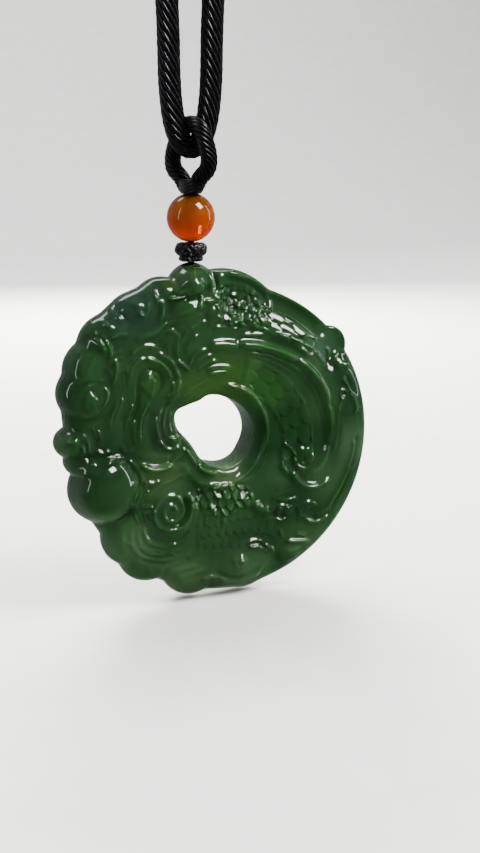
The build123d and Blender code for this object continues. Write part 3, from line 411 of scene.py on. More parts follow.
# Rows of like lines, spread evenly between a first and a last line
combs = table("name count x0 z0 x1 z1 last_x0 last_z0 last_x1 last_z1 bend width height", [
    ("teeth", 5, -26.9, -1.0, -27.0, -2.8, -23.0, -1.0, -22.8, -2.2, 0.0, 0.34, 0.3),
    ("hair under the hole", 6, -5.4, -12.0, -6.0, -14.6, -0.4, -12.6, -0.6, -15.4, 0.15, 0.3, 0.2),
    ("cheek hair", 4, -20.6, 13.6, -18.6, 9.2, -17.2, 13.2, -16.8, 9.4, 0.3, 0.3, 0.2),
    ("hair over the eye", 5, -20.4, 14.4, -17.6, 15.8, -19.0, 10.8, -16.9, 11.6, 0.2, 0.25, 0.22),
    ("neck flow", 4, -12.0, 17.0, -5.6, 20.0, -9.8, 14.4, -8.9, 17.2, 0.5, 0.35, 0.25),
    ("beard root hair", 5, -16.2, -10.6, -15.2, -13.2, -13.2, -10.6, -12.8, -12.2, 0.1, 0.22, 0.25),
    ("lower cloud flow", 5, -18.6, -15.4, -15.4, -19.2, -9.8, -20.4, -6.2, -19.4, 0.8, 0.3, 0.25),
    ("cloud edge hair", 6, -17.6, -18.6, -16.6, -20.6, -8.6, -22.6, -7.4, -24.6, 0.2, 0.3, 0.22),
    ("right field flow", 4, 5.0, -16.8, 9.6, -18.6, 8.2, -11.8, 13.4, -10.4, 0.6, 0.35, 0.2),
])
bow = 0.3
comb_folds = []
for comb in combs:
    for number in range(comb.count):
        share = number / (comb.count - 1)
        x0 = comb.x0 + (comb.last_x0 - comb.x0) * share
        z0 = comb.z0 + (comb.last_z0 - comb.z0) * share
        x1 = comb.x1 + (comb.last_x1 - comb.x1) * share
        z1 = comb.z1 + (comb.last_z1 - comb.z1) * share
        xm = 0.5 * (x0 + x1) - comb.bend * (z1 - z0) * bow
        zm = 0.5 * (z0 + z1) + comb.bend * (x1 - x0) * bow
        comb_folds.append((comb.name, x0, z0, xm, zm, x1, z1, comb.width, comb.height))
front_folds = boss_folds + fin_folds + body_folds + leaf_folds + tail_folds + beard_folds
head_folds = horn_folds + face_folds + mane_folds + jaw_folds
folds = table(fold_columns, front_folds + head_folds + comb_folds)

# Overlapping scales in a ring-shaped field, whose free edges point to the end angle
shingle_fields = table("name x z inner outer start_angle end_angle rows pitch height", [
    ("back scales", 0.6, -2.3, 20.4, 24.7, 82, 45, 2, 2.3, 1.1),
    ("body scales", 0.6, -2.3, 9.6, 16.2, 80, -24, 3, 3.0, 0.55),
    ("low body scales", -40.0, -16.2, 34.6, 49.6, 5.6, -5.6, 10, 2.3, 0.34),
])

# Small uneven facets in an oval field, each leaning to the aim within the spread
facet_fields = table("name x z length width tilt pitch height slope aim spread", [
    ("fin facets", 2.9, 21.2, 5.2, 3.5, -18, 1.35, 0.3, -1.1, 90, 63),
    ("belly facets", -0.7, -10.2, 6.2, 3.1, -4, 1.6, 0.42, -1.65, 60, 30),
])


# Shapes that the tables describe
def smooth_step(value):
    share = np.clip(value, 0.0, 1.0)
    return share * share * (3.0 - 2.0 * share)


def outline_radius(angle):
    # The farthest lobe at each angle, with the corners between lobes rounded
    sharpness = 3.0
    fill = 0.6
    reach = [np.zeros_like(angle)]
    for lobe in outline_lobes:
        offset_x = lobe.x - bore_offset_x
        offset_z = lobe.z - bore_offset_z
        along = offset_x * np.cos(angle) + offset_z * np.sin(angle)
        rest = lobe.radius**2 - (offset_x**2 + offset_z**2 - along**2)
        reach.append(np.where(rest > 0, along + np.sqrt(np.maximum(rest, 0.0)), -100.0))
    reach = np.array(reach)
    top = reach.max(axis=0)
    total = np.exp(sharpness * (reach - top)).sum(axis=0)
    return top + np.log(total) / sharpness * fill


def hole_radius(angle):
    # A smooth curve through the rows, which lie evenly round the circle
    shares = np.array([row.share for row in bore_rows_by_angle])
    count = len(shares)
    place = angle / TURN * count
    index = np.floor(place).astype(int)
    part = place - index
    before = shares[(index - 1) % count]
    start = shares[index % count]
    end = shares[(index + 1) % count]
    beyond = shares[(index + 2) % count]
    curve = start + 0.5 * part * (end - before)
    curve = curve + part**2 * (before - 2.5 * start + 2.0 * end - 0.5 * beyond)
    curve = curve + part**3 * (1.5 * start - 0.5 * before - 1.5 * end + 0.5 * beyond)
    return bore_radius * curve


def bore_edge(angle):
    # The front edge of the bore is widest at the right
    return bore_edge_width * (0.75 + 0.25 * np.cos(angle - math.radians(bore_edge_angle)))


def round_edge(distance, width):
    share = np.clip(distance / width, 0.0, 1.0)
    return np.sqrt(1.0 - (1.0 - share) ** 2)


def along_and_across(row, x, z):
    # Distances from the middle of a tilted row
    tilt = math.radians(row.tilt)
    along = (x - row.x) * math.cos(tilt) + (z - row.z) * math.sin(tilt)
    across = (z - row.z) * math.cos(tilt) - (x - row.x) * math.sin(tilt)
    return along, across


def dome_height(dome, x, z):
    along, across = along_and_across(dome, x, z)
    share = (along / dome.length) ** 2 + (across / dome.width) ** 2
    # The cap of a ball of this height on a ring of the dome's mean size
    reach = 0.5 * (dome.length + dome.width)
    ball = (reach**2 + dome.height**2) / (2.0 * dome.height)
    return np.sqrt(ball**2 - reach**2 * np.minimum(share, 1.0)) - (ball - dome.height)


def stroke_height(stroke, x, z):
    taper = 8.0
    distance = np.hypot(x - stroke.x, z - stroke.z)
    angle = np.degrees(np.arctan2(z - stroke.z, x - stroke.x))
    span = stroke.end_angle - stroke.start_angle
    best = np.zeros_like(x)
    for turn in (-2, -1, 0, 1, 2):
        share = (angle + 360.0 * turn - stroke.start_angle) / span
        inside = (share >= 0.0) & (share <= 1.0)
        radius = stroke.start_radius + (stroke.end_radius - stroke.start_radius) * share
        off = (distance - radius) / stroke.width
        ends = smooth_step(share * taper) * smooth_step((1.0 - share) * taper)
        if abs(span) >= 359.0:
            ends = np.ones_like(share)
        best = np.maximum(best, np.where(inside, np.exp(-np.minimum(off * off, 40.0)) * ends, 0.0))
    return stroke.height * best


def shingle_offset(across, column):
    # Place across a scale from -1 to 1, with every second column half a scale aside
    own = across + 0.5 * (column % 2)
    return (own - np.floor(own) - 0.5) * 2.0


def shingle_height(field, x, z):
    root = 0.35
    crown = 0.22
    step = 0.14
    fade = 0.8
    fade_angle = 4.0
    distance = np.hypot(x - field.x, z - field.z)
    angle = np.degrees(np.arctan2(z - field.z, x - field.x))
    low = min(field.start_angle, field.end_angle)
    high = max(field.start_angle, field.end_angle)
    angle = np.where(angle < low - 180.0, angle + 360.0, angle)
    breadth = (field.outer - field.inner) / field.rows
    middle = 0.5 * (field.inner + field.outer)
    along = (field.start_angle - angle) / (field.start_angle - field.end_angle)
    place = along * math.radians(high - low) * middle / field.pitch
    across = (distance - field.inner) / breadth
    column = np.floor(place)
    part = place - column
    own = shingle_offset(across, column)
    under = shingle_offset(across, column + 1)
    reach = 0.45 + 0.55 * np.sqrt(np.maximum(0.0, 1.0 - own * own))
    covered = smooth_step((reach - part) / step + 0.5)
    top = root + (1.0 - root) * part - crown * own * own
    below = root + (1.0 - root) * (part - 1.0) - crown * under * under
    shape = covered * top + (1.0 - covered) * below
    edge = smooth_step((distance - field.inner) / fade) * smooth_step((field.outer - distance) / fade)
    edge = edge * smooth_step((angle - low) / fade_angle) * smooth_step((high - angle) / fade_angle)
    return field.height * shape * edge


def facet_height(field, x, z):
    jitter = 0.3
    groove = 0.35
    along, across = along_and_across(field, x, z)
    edge = smooth_step((1.0 - (along / field.length) ** 2 - (across / field.width) ** 2) / groove)
    u = along / field.pitch
    v = across / field.pitch
    nearest = np.full(x.shape, 1e9)
    second = np.full(x.shape, 1e9)
    lean = np.zeros_like(x)
    for row_step in (-1, 0, 1):
        for column_step in (-1, 0, 1):
            row = np.floor(v) + row_step
            shift = 0.5 * (row % 2)
            column = np.floor(u - shift) + column_step
            # Sines of large steps stand in for chance, the same in each run
            seed = row * 12.9898 + column * 78.233
            off_u = u - (column + 0.5 + shift + jitter * np.sin(seed))
            off_v = v - (row + 0.5 + jitter * np.cos(seed * 1.7))
            distance = np.hypot(off_u, off_v)
            turn = np.radians(field.aim + field.spread * np.sin(seed * 2.3))
            slope = (0.6 + 0.4 * np.sin(seed * 3.1)) * (off_u * np.cos(turn) + off_v * np.sin(turn))
            closer = distance < nearest
            second = np.where(closer, nearest, np.minimum(second, distance))
            lean = np.where(closer, slope, lean)
            nearest = np.where(closer, distance, nearest)
    cell = smooth_step((second - nearest) / groove)
    return edge * cell * (field.height + field.slope * lean)


def fold_height(fold, x, z):
    # A bent line that passes through the fold's middle, with thin low ends
    runs = 20
    taper_rate = 5.0
    control_x = 2.0 * fold.xm - 0.5 * (fold.x0 + fold.x1)
    control_z = 2.0 * fold.zm - 0.5 * (fold.z0 + fold.z1)
    margin = 3.0 * fold.width
    all_x = (fold.x0, fold.xm, fold.x1, control_x)
    all_z = (fold.z0, fold.zm, fold.z1, control_z)
    near = (x > min(all_x) - margin) & (x < max(all_x) + margin)
    near = near & (z > min(all_z) - margin) & (z < max(all_z) + margin)
    result = np.zeros_like(x)
    if not near.any():
        return result
    px = x[near]
    pz = z[near]
    best = np.full(px.shape, 1e9)
    best_share = np.zeros_like(px)
    shares = np.linspace(0.0, 1.0, runs + 1)
    line_x = (1 - shares) ** 2 * fold.x0 + 2 * shares * (1 - shares) * control_x + shares**2 * fold.x1
    line_z = (1 - shares) ** 2 * fold.z0 + 2 * shares * (1 - shares) * control_z + shares**2 * fold.z1
    for index in range(runs):
        run_x = line_x[index + 1] - line_x[index]
        run_z = line_z[index + 1] - line_z[index]
        off_x = px - line_x[index]
        off_z = pz - line_z[index]
        along = np.clip((off_x * run_x + off_z * run_z) / (run_x**2 + run_z**2), 0.0, 1.0)
        distance = np.hypot(off_x - along * run_x, off_z - along * run_z)
        closer = distance < best
        best = np.where(closer, distance, best)
        best_share = np.where(closer, (index + along) / runs, best_share)
    taper = smooth_step(best_share * taper_rate) * smooth_step((1.0 - best_share) * taper_rate)
    width = fold.width * (0.6 + 0.4 * taper)
    result[near] = fold.height * taper * np.exp(-((best / width) ** 2))
    return result


def relief(x, z):
    # Height of all the carving: crossing folds don't add up, everything else does
    total = np.zeros_like(x)
    for dome in domes:
        total = total + dome_height(dome, x, z)
    for stroke in strokes:
        total = total + stroke_height(stroke, x, z)
    ridge = np.zeros_like(x)
    groove = np.zeros_like(x)
    for fold in folds:
        height = fold_height(fold, x, z)
        ridge = np.maximum(ridge, height)
        groove = np.minimum(groove, height)
    total = total + ridge + groove
    for field in shingle_fields:
        total = total + shingle_height(field, x, z)
    for field in facet_fields:
        total = total + facet_height(field, x, z)
    return total


def ring_faces(rings, around, first=0, closed=False):
    # Quads between rings of points, with a cap at both ends unless the last ring meets the first
    faces = []
    for ring in range(rings if closed else rings - 1):
        start = first + ring * around
        beyond = first + (ring + 1) % rings * around
        for corner in range(around):
            after = (corner + 1) % around
            faces.append((start + corner, start + after, beyond + after, beyond + corner))
    if not closed:
        last = first + (rings - 1) * around
        faces.append(tuple(range(first, first + around))[::-1])
        faces.append(tuple(range(last, last + around)))
    return faces


def new_object(name, points, faces, material=None):
    # Only a cutter has no material, and stays flat
    mesh = bpy.data.meshes.new(name)
    mesh.from_pydata([tuple(p) for p in points], [], faces)
    mesh.update()
    if material:
        mesh.materials.append(material)
        for polygon in mesh.polygons:
            polygon.use_smooth = True
    obj = bpy.data.objects.new(name, mesh)
    bpy.context.collection.objects.link(obj)
    return obj


def new_piece(name, points, faces, body, node, slot):
    # A visual piece that takes the place of a solid
    obj = new_object(name, points, faces, looks[slot])
    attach(obj, body)
    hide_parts(node)
    return obj


# Materials
def set_inputs(tree, node, inputs):
    # Each input gets a value, or a link from the output that feeds it
    for name, value in inputs.items():
        if isinstance(value, bpy.types.NodeSocket):
            tree.links.new(value, node.inputs[name])
        else:
            node.inputs[name].default_value = value


def add_node(tree, kind, inputs, **settings):
    node = tree.nodes.new("ShaderNode" + kind)
    for name, value in settings.items():
        setattr(node, name, value)
    set_inputs(tree, node, inputs)
    return node


def add_noise(tree, place, scale, detail):
    return add_node(tree, "TexNoise", {"Vector": place, "Scale": scale, "Detail": detail}).outputs["Fac"]


def add_bump(tree, source, strength, distance):
    inputs = {"Height": source, "Strength": strength, "Distance": distance}
    return add_node(tree, "Bump", inputs).outputs["Normal"]


def add_ramp(tree, source, stops):
    ramp = add_node(tree, "ValToRGB", {"Fac": source})
    while len(ramp.color_ramp.elements) < len(stops):
        ramp.color_ramp.elements.new(0.5)
    for element, (position, colour) in zip(ramp.color_ramp.elements, stops):
        element.position = position
        element.color = (*colour, 1)
    return ramp.outputs["Color"]


def new_material(name):
    material = bpy.data.materials.new(name)
    material.use_nodes = True
    tree = material.node_tree
    return material, tree, tree.nodes.new("ShaderNodeTexCoord").outputs["Object"]


def finish_material(material, inputs):
    # Values and links of the surface shader
    set_inputs(material.node_tree, material.node_tree.nodes["Principled BSDF"], inputs)
    return material


# Painted light in the stone's colour: lighter and darker patches, each round a place on the front, that
# stand in for light shining through the stone and the sheen it reflects
painted_light_patches = table("name x z inner outer red green blue share", [
    ("body inside", 10.5, 0.0, 3.0, 9.0, 0.002, 0.014, 0.003, 0.8),
    ("mane", -12.4, 10.4, 1.0, 6.0, 0.011, 0.037, 0.008, 0.7),
    ("above the hole left", -5.6, 9.0, 0.5, 5.0, 0.016, 0.046, 0.010, 0.8),
    ("above the hole", 0.4, 9.8, 0.5, 7.5, 0.016, 0.048, 0.007, 0.85),
    ("above the hole right", 7.5, 8.0, 1.0, 5.0, 0.006, 0.032, 0.004, 0.8),
    ("below the hole", 0.5, -6.6, 0.5, 4.5, 0.032, 0.064, 0.024, 0.9),
    ("jaw", -11.5, -5.2, 1.5, 6.0, 0.021, 0.050, 0.016, 0.9),
    ("lock of hair", -10.5, 3.5, 1.0, 5.5, 0.015, 0.036, 0.014, 0.8),
    ("beard", -16.5, -16.5, 1.0, 7.0, 0.024, 0.056, 0.022, 0.9),
    ("spiral", -9.5, -12.0, 1.0, 6.0, 0.012, 0.034, 0.012, 0.7),
    ("bottom left", -8.0, -24.0, 1.0, 8.0, 0.027, 0.060, 0.022, 0.9),
    ("bottom", 3.0, -24.5, 1.0, 8.0, 0.027, 0.060, 0.024, 0.9),
    ("low right", 15.0, -19.0, 1.0, 6.0, 0.018, 0.048, 0.016, 0.8),
    ("rim", 24.5, -3.0, 1.0, 6.0, 0.020, 0.046, 0.020, 0.8),
    ("pearl low", -20.5, -10.6, 0.5, 3.6, 0.030, 0.068, 0.024, 0.85),
    ("ridge right", 17.5, 4.5, 1.0, 5.0, 0.014, 0.040, 0.013, 0.7),
    ("right low", 18.5, -8.0, 1.0, 6.5, 0.018, 0.046, 0.016, 0.75),
    ("body inside low", 9.5, -6.0, 1.0, 4.0, 0.012, 0.036, 0.014, 0.6),
    ("leaf", 18.5, 14.5, 1.0, 4.0, 0.020, 0.046, 0.026, 0.7),
    ("horns", -16.0, 23.0, 2.0, 8.0, 0.010, 0.026, 0.016, 0.8),
])


def jade_look():
    material, tree, place = new_material("jade")
    veins = [(0.3, (0.005, 0.018, 0.006)), (0.5, (0.009, 0.029, 0.009)), (0.72, (0.015, 0.047, 0.014))]
    stone_and_painted_light = add_ramp(tree, add_noise(tree, place, 55.0, 4.0), veins)
    # Each patch mixes its painted light into the stone's colour, fading out from its middle
    for light_patch in painted_light_patches:
        middle = ((disc_x + light_patch.x) * MM, -body_half * MM, (disc_z + light_patch.z) * MM)
        away = add_node(tree, "VectorMath", {0: place, 1: middle}, operation="DISTANCE")
        fall = {
            "Value": away.outputs["Value"],
            "From Min": light_patch.inner * MM,
            "From Max": light_patch.outer * MM,
            "To Min": light_patch.share,
            "To Max": 0.0,
        }
        near = add_node(tree, "MapRange", fall, interpolation_type="SMOOTHSTEP")
        blend = {"Factor": near.outputs["Result"], 6: stone_and_painted_light, 7: (light_patch.red, light_patch.green, light_patch.blue, 1)}
        stone_and_painted_light = add_node(tree, "Mix", blend, data_type="RGBA").outputs[2]
    fine = add_noise(tree, place, 900.0, 3.0)
    ripple = add_noise(tree, place, 420.0, 2.0)
    polish = {
        "Base Color": stone_and_painted_light,
        "Roughness": add_ramp(tree, fine, [(0.3, (0.04, 0.04, 0.04)), (0.7, (0.09, 0.09, 0.09))]),
        "Normal": add_bump(tree, ripple, 0.15, 0.00006),
        "IOR": 1.62,
        "Subsurface Weight": 1.0,
        "Subsurface Radius": (0.40, 1.0, 0.35),
        "Subsurface Scale": 0.0035,
    }
    return finish_material(material, polish)


def carnelian_look():
    # Painted glow: lighter and redder below, where light shining through the bead comes out, and browner
    # above, with clouds in the stone
    material, tree, place = new_material("carnelian")
    axes = add_node(tree, "SeparateXYZ", {"Vector": place})
    ends = {
        "Value": axes.outputs["Z"],
        "From Min": (bead_z - bead_diameter / 2) * MM,
        "From Max": (bead_z + bead_diameter / 2) * MM,
    }
    level = add_node(tree, "MapRange", ends).outputs["Result"]
    cloud = add_noise(tree, place, 260.0, 3.0)
    clouds_and_painted_glow = add_node(tree, "Math", {0: cloud, 1: 0.3, 2: level}, operation="MULTIPLY_ADD")
    painted_glow_ramp = [
        (0.15, (0.42, 0.036, 0.001)),
        (0.4, (0.29, 0.024, 0.001)),
        (0.7, (0.19, 0.034, 0.001)),
        (1.0, (0.11, 0.030, 0.002)),
    ]
    polish = {
        "Base Color": add_ramp(tree, clouds_and_painted_glow.outputs["Value"], painted_glow_ramp),
        "Roughness": 0.03,
        "IOR": 1.54,
        "Transmission Weight": 0.3,
        "Subsurface Weight": 0.7,
        "Subsurface Radius": (1.0, 0.35, 0.08),
        "Subsurface Scale": 0.003,
    }
    return finish_material(material, polish)


def cord_look(name, colour, glint, roughness, bump_depth):
    material, tree, place = new_material(name)
    fibre = add_noise(tree, place, 2200.0, 4.0)
    silk = {
        "Base Color": add_ramp(tree, fibre, [(0.35, colour), (0.75, glint)]),
        "Normal": add_bump(tree, fibre, 0.35, bump_depth),
        "Roughness": roughness,
        "Specular IOR Level": 0.55,
    }
    return finish_material(material, silk)


def knot_look():
    # Dark thread with small bright glints
    material, tree, place = new_material("knot_thread")
    specks = add_noise(tree, place, 1700.0, 2.0)
    colours = [(0.45, (0.001, 0.001, 0.001)), (0.64, (0.004, 0.004, 0.005)), (0.7, (0.55, 0.57, 0.58))]
    glints = [(0.64, (0.0, 0.0, 0.0)), (0.69, (0.9, 0.9, 0.9))]
    thread = {
        "Base Color": add_ramp(tree, specks, colours),
        "Metallic": add_ramp(tree, specks, glints),
        "Normal": add_bump(tree, specks, 0.5, 0.00008),
        "Roughness": 0.32,
    }
    return finish_material(material, thread)


def plain_look(name, scale, detail, dark, light, roughness, metallic):
    material, tree, place = new_material(name)
    grain = add_noise(tree, place, scale, detail)
    colour = add_ramp(tree, grain, [(0.3, dark), (0.7, light)])
    return finish_material(material, {"Base Color": colour, "Roughness": roughness, "Metallic": metallic})


# The look of each material slot, and of the floor
necklace_tones = ((0.0010, 0.0008, 0.0014), (0.0045, 0.0034, 0.0056))
loop_tones = ((0.0006, 0.0006, 0.0008), (0.0020, 0.0018, 0.0024))
looks = {
    "jade": jade_look(),
    "carnelian": carnelian_look(),
    "necklace_cord": cord_look("necklace_cord", *necklace_tones, 0.24, 0.00004),
    "loop_cord": cord_look("loop_cord", *loop_tones, 0.28, 0.00002),
    "knot_thread": knot_look(),
    "clasp": plain_look("clasp", 700.0, 3.0, (0.012, 0.012, 0.013), (0.03, 0.03, 0.032), 0.35, 0.6),
    "floor": plain_look("floor", 90.0, 5.0, (0.60, 0.59, 0.58), (0.64, 0.63, 0.62), 0.6, 0.0),
}

# Jade dragon: closed rings of points from the bore over the front, round the rim and back
turn_steps = 600
front_steps = 136
crowding = 0.10
front_start = 0.8
front_end = 0.75
fade_width = 1.2
angles = np.linspace(0.0, TURN, turn_steps, endpoint=False)
inner = hole_radius(angles)
bevel = bore_edge(angles)
outer = outline_radius(angles)


def disc_ring(radius, depth):
    x = bore_offset_x + radius * np.cos(angles) + disc_x
    z = bore_offset_z + radius * np.sin(angles) + disc_z
    return np.stack([x, depth + 0.0 * x, z], axis=1)


shares = np.linspace(0.0, 1.0, front_steps + 1)
shares = shares + crowding * np.sin(TURN * shares) / TURN
low = inner + bevel * front_start
high = outer - edge_width * front_end
rim_shares = (0.6, 0.38, 0.2, 0.09, 0.025)
columns = [inner + share * bevel for share in (0.0, 0.04, 0.15, 0.33, 0.6)]
columns.extend([low + (high - low) * share for share in shares[1:-1]])
columns.extend([outer - share * edge_width for share in rim_shares])
radii = np.array(columns)
from_bore = radii - inner
from_rim = outer - radii
height = bore_half + (body_half - bore_half) * round_edge(from_bore, bevel)
height = height * round_edge(from_rim, edge_width)
fade = smooth_step(from_bore / fade_width) * smooth_step(from_rim / fade_width)
x = bore_offset_x + radii * np.cos(angles)
z = bore_offset_z + radii * np.sin(angles)
height = height + fade * relief(x, z)
rings = [disc_ring(radius, -depth) for radius, depth in zip(radii, height)]
rings.append(disc_ring(outer, 0.0))
for share in rim_shares[::-1]:
    rings.append(disc_ring(outer - share * edge_width, body_half * round_edge(share, 1.0)))
start = outer - edge_width
end = inner + bevel
for share in (0.0, 0.2, 0.4, 0.6, 0.8):
    rings.append(disc_ring(start + (end - start) * share, body_half))
for share in (1.0, 0.6, 0.33, 0.15, 0.04, 0.0):
    depth = bore_half + (body_half - bore_half) * round_edge(share, 1.0)
    rings.append(disc_ring(inner + share * bevel, depth))
points = np.concatenate(rings) * MM
faces = ring_faces(len(rings), turn_steps, closed=True)
jade = new_object("jade_dragon_carving", points, faces, looks["jade"])

# Thread hole, a round tube of points from the boss down and out at the back
drill_around = 32
drill_radius = thread_hole_diameter / 2
drill_rise = 1.5
drill_run = 1.6
turn_z = boss_top_z - thread_hole_depth
bend = 0.5
bend_steps = 6
drill_line = [(0.0, 0.0, boss_top_z + drill_rise), (0.0, 0.0, turn_z + bend)]
for step in range(1, bend_steps):
    angle = TURN / 4 * step / bend_steps
    drill_line.append((0.0, bend - bend * math.cos(angle), turn_z + bend - bend * math.sin(angle)))
drill_line.append((0.0, bend, turn_z))
drill_line.append((0.0, body_half + drill_run, turn_z))
points = []
for number, place in enumerate(drill_line):
    before = Vector(drill_line[max(0, number - 1)])
    beyond = Vector(drill_line[min(len(drill_line) - 1, number + 1)])
    side = Vector((1.0, 0.0, 0.0))
    normal = side.cross((beyond - before).normalized()).normalized()
    for corner in range(drill_around):
        angle = TURN * corner / drill_around
        spoke = (side * math.cos(angle) + normal * math.sin(angle)) * drill_radius
        points.append((Vector(place) + spoke) * MM)
drill = new_object("drill", points, ring_faces(len(drill_line), drill_around))
cut = jade.modifiers.new("thread_hole", "BOOLEAN")
cut.operation = "DIFFERENCE"
cut.solver = "EXACT"
cut.object = drill
bpy.context.view_layer.objects.active = jade
jade.select_set(True)
bpy.ops.object.modifier_apply(modifier=cut.name)
bpy.data.objects.remove(drill)
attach(jade, "pendant")
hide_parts("jade_dragon")
print("jade triangles", 2 * len(faces))


# Cords: each route's points give a smooth line, and the rope's strands follow it
def route_line(name, route):
    curve = bpy.data.curves.new(name, "CURVE")
    curve.dimensions = "3D"
    curve.resolution_u = 24
    spline = curve.splines.new("NURBS")
    spline.points.add(len(route) - 1)
    for point, place in zip(spline.points, route):
        point.co = (place[0] * MM, place[1] * MM, place[2] * MM, 1.0)
    spline.order_u = 3
    spline.use_endpoint_u = True
    obj = bpy.data.objects.new(name + "_line", curve)
    bpy.context.collection.objects.link(obj)
    mesh = bpy.data.meshes.new_from_object(obj)
    line = [v.co.copy() for v in mesh.vertices]
    bpy.data.objects.remove(obj)
    bpy.data.meshes.remove(mesh)
    return line


def even_line(line, step):
    lengths = [0.0]
    for first, second in zip(line, line[1:]):
        lengths.append(lengths[-1] + (second - first).length)
    total = lengths[-1]
    count = max(2, int(round(total / step)))
    places = []
    index = 0
    for number in range(count + 1):
        target = total * number / count
        while index < len(lengths) - 2 and lengths[index + 1] < target:
            index += 1
        span = lengths[index + 1] - lengths[index]
        share = 0.0 if span == 0 else (target - lengths[index]) / span
        places.append(line[index].lerp(line[index + 1], share))
    return places, total


# A rope turns once in each lead, and its depth is that of the grooves between the strands
Rope = namedtuple("Rope", "diameter strands lead depth step around end_length")


def rope_points(line, rope):
    # Strands laid round the line, with a finer wave along each strand, and tapered ends
    fine_share = 0.04
    fine_pitch = 0.22 * rope.diameter
    end_loss = 0.25
    places, total = even_line(line, rope.step)
    normal = Vector((0.0, 1.0, 0.0))
    points = []
    for number, place in enumerate(places):
        before = places[max(0, number - 1)]
        beyond = places[min(len(places) - 1, number + 1)]
        tangent = (beyond - before).normalized()
        normal = (normal - tangent * normal.dot(tangent)).normalized()
        side = tangent.cross(normal)
        along = total * number / (len(places) - 1)
        turn = TURN * along / rope.lead
        end = min(along, total - along) / rope.end_length
        taper = 1.0 - end_loss * max(0.0, 1.0 - end) ** 2
        for corner in range(rope.around):
            share = TURN * corner / rope.around
            wave = abs(math.sin(0.5 * rope.strands * share))
            fine = fine_share * rope.depth * math.sin(TURN * along / fine_pitch + 3.0 * rope.strands * share)
            radius = (rope.diameter / 2 - rope.depth * (1.0 - wave) + fine) * taper
            angle = share + turn
            points.append(place + (normal * math.cos(angle) + side * math.sin(angle)) * radius)
    return points, ring_faces(len(places), rope.around), total


right_side = [
    (0.4, 0, clasp_z),
    (crown_shoulder, 0, clasp_z),
    (crown_half_width + 2.0, 0, clasp_z - crown_height),
    (straight_half_width, 0, fold_z + straight_height),
    (fold_half_width, 0, fold_z),
]
necklace_route = right_side + [(-px, py, pz) for px, py, pz in reversed(right_side)]
necklace_rope = Rope(necklace_cord_diameter * MM, 12, -0.0175, 0.00036, 0.0007, 96, 0.001)
points, faces, length = rope_points(route_line("necklace_cord", necklace_route), necklace_rope)
new_piece("necklace_rope", points, faces, "necklace", "necklace_cord", "necklace_cord")
print("necklace cord", round(length / MM, 1), "mm,", 2 * len(faces), "triangles")

front_side = [
    (0.0, -bail_half_depth, fold_z + bail_rise),
    (2.2, -bail_half_depth + 0.2, fold_z - 2.8),
    (0.35, -1.4, fold_z - 5.2),
    (0.3, -1.38, fold_z - bail_drop),
]
bail_route = [(-px, -py, pz) for px, py, pz in reversed(front_side)] + front_side
bail_rope = Rope(bail_cord_diameter * MM, 10, -0.0085, 0.0003, 0.00025, 80, 0.0016)
points, faces, length = rope_points(route_line("bail_loop", bail_route), bail_rope)

# Thread bound round the two ends of the loop, just above the bead
wraps = table("height half_width half_depth", [
    (0.10, 0.60, 0.60),
    (-0.16, 1.20, 1.80),
    (-0.24, 1.46, 2.30),
    (0.00, 1.62, 2.66),
    (0.50, 1.72, 2.82),
    (1.10, 1.80, 2.92),
    (1.60, 1.84, 2.94),
    (1.95, 1.70, 2.80),
    (2.05, 1.40, 2.40),
    (1.90, 0.50, 0.60),
])
wrap_around = 72
wrap_parts = 6
wrap_pitch = 0.55
wrap_sway = 1.4
wrap_sway_angle = 0.6
groove_depth = 0.13
groove_start = 0.6
groove_fade = 0.9
wrap_rows = []
for low, high in zip(wraps, wraps[1:]):
    for part in range(wrap_parts):
        wrap_rows.append([a + (b - a) * part / wrap_parts for a, b in zip(low, high)])
wrap_rows.append(wraps[-1])
first = len(points)
for height, half_width, half_depth in wrap_rows:
    for corner in range(wrap_around):
        angle = TURN * corner / wrap_around
        sway = wrap_sway * math.sin(angle - wrap_sway_angle)
        wind = abs(math.sin(math.pi * (height / wrap_pitch + sway)))
        cut = groove_depth * (1.0 - wind) * smooth_step((half_width - groove_start) / groove_fade)
        across = (half_width - cut) * math.cos(angle)
        depth = (half_depth - cut) * math.sin(angle)
        points.append(Vector((across, depth, fold_z - bail_drop + height)) * MM)
faces.extend(ring_faces(len(wrap_rows), wrap_around, first))
new_piece("bail_rope", points, faces, "pendant", "bail_loop", "loop_cord")
print("loop cord", round(length / MM, 1), "mm,", 2 * len(faces), "triangles")


# Turned pieces: rows of height and radius round an upright or a lying axis
def turned_points(profile, around, centre_z, lying=False, wobble=0.0):
    points = []
    for height, radius in profile:
        for corner in range(around):
            angle = TURN * corner / around
            reach = radius * (1.0 + wobble * math.sin(3.0 * angle + 0.8 * height))
            across = reach * math.cos(angle)
            depth = reach * math.sin(angle)
            place = Vector((height, across, depth)) if lying else Vector((across, depth, height))
            points.append((place + Vector((0.0, 0.0, centre_z))) * MM)
    return points


# Round bead, drilled for the thread, with a softened edge at the hole
bead_radius = bead_diameter / 2
bead_hole = thread_hole_diameter / 2
bead_lip = 0.22
lip_depth = 0.3
lip_drop = 0.06
lip_round = 0.05
bead_around = 96
bead_rows = 64
lip_angle = math.asin((bead_hole + bead_lip) / bead_radius)
lip_height = bead_radius * math.cos(lip_angle)
bead_profile = [(-lip_height + lip_depth, bead_hole), (-lip_height + lip_drop, bead_hole + lip_round)]
for row in range(bead_rows + 1):
    angle = lip_angle + (math.pi - 2.0 * lip_angle) * row / bead_rows
    bead_profile.append((-bead_radius * math.cos(angle), bead_radius * math.sin(angle)))
bead_profile.extend([(lip_height - lip_drop, bead_hole + lip_round), (lip_height - lip_depth, bead_hole)])
points = turned_points(bead_profile, bead_around, bead_z, wobble=0.002)
faces = ring_faces(len(bead_profile), bead_around, closed=True)
new_piece("carnelian_round", points, faces, "pendant", "carnelian_bead", "carnelian")

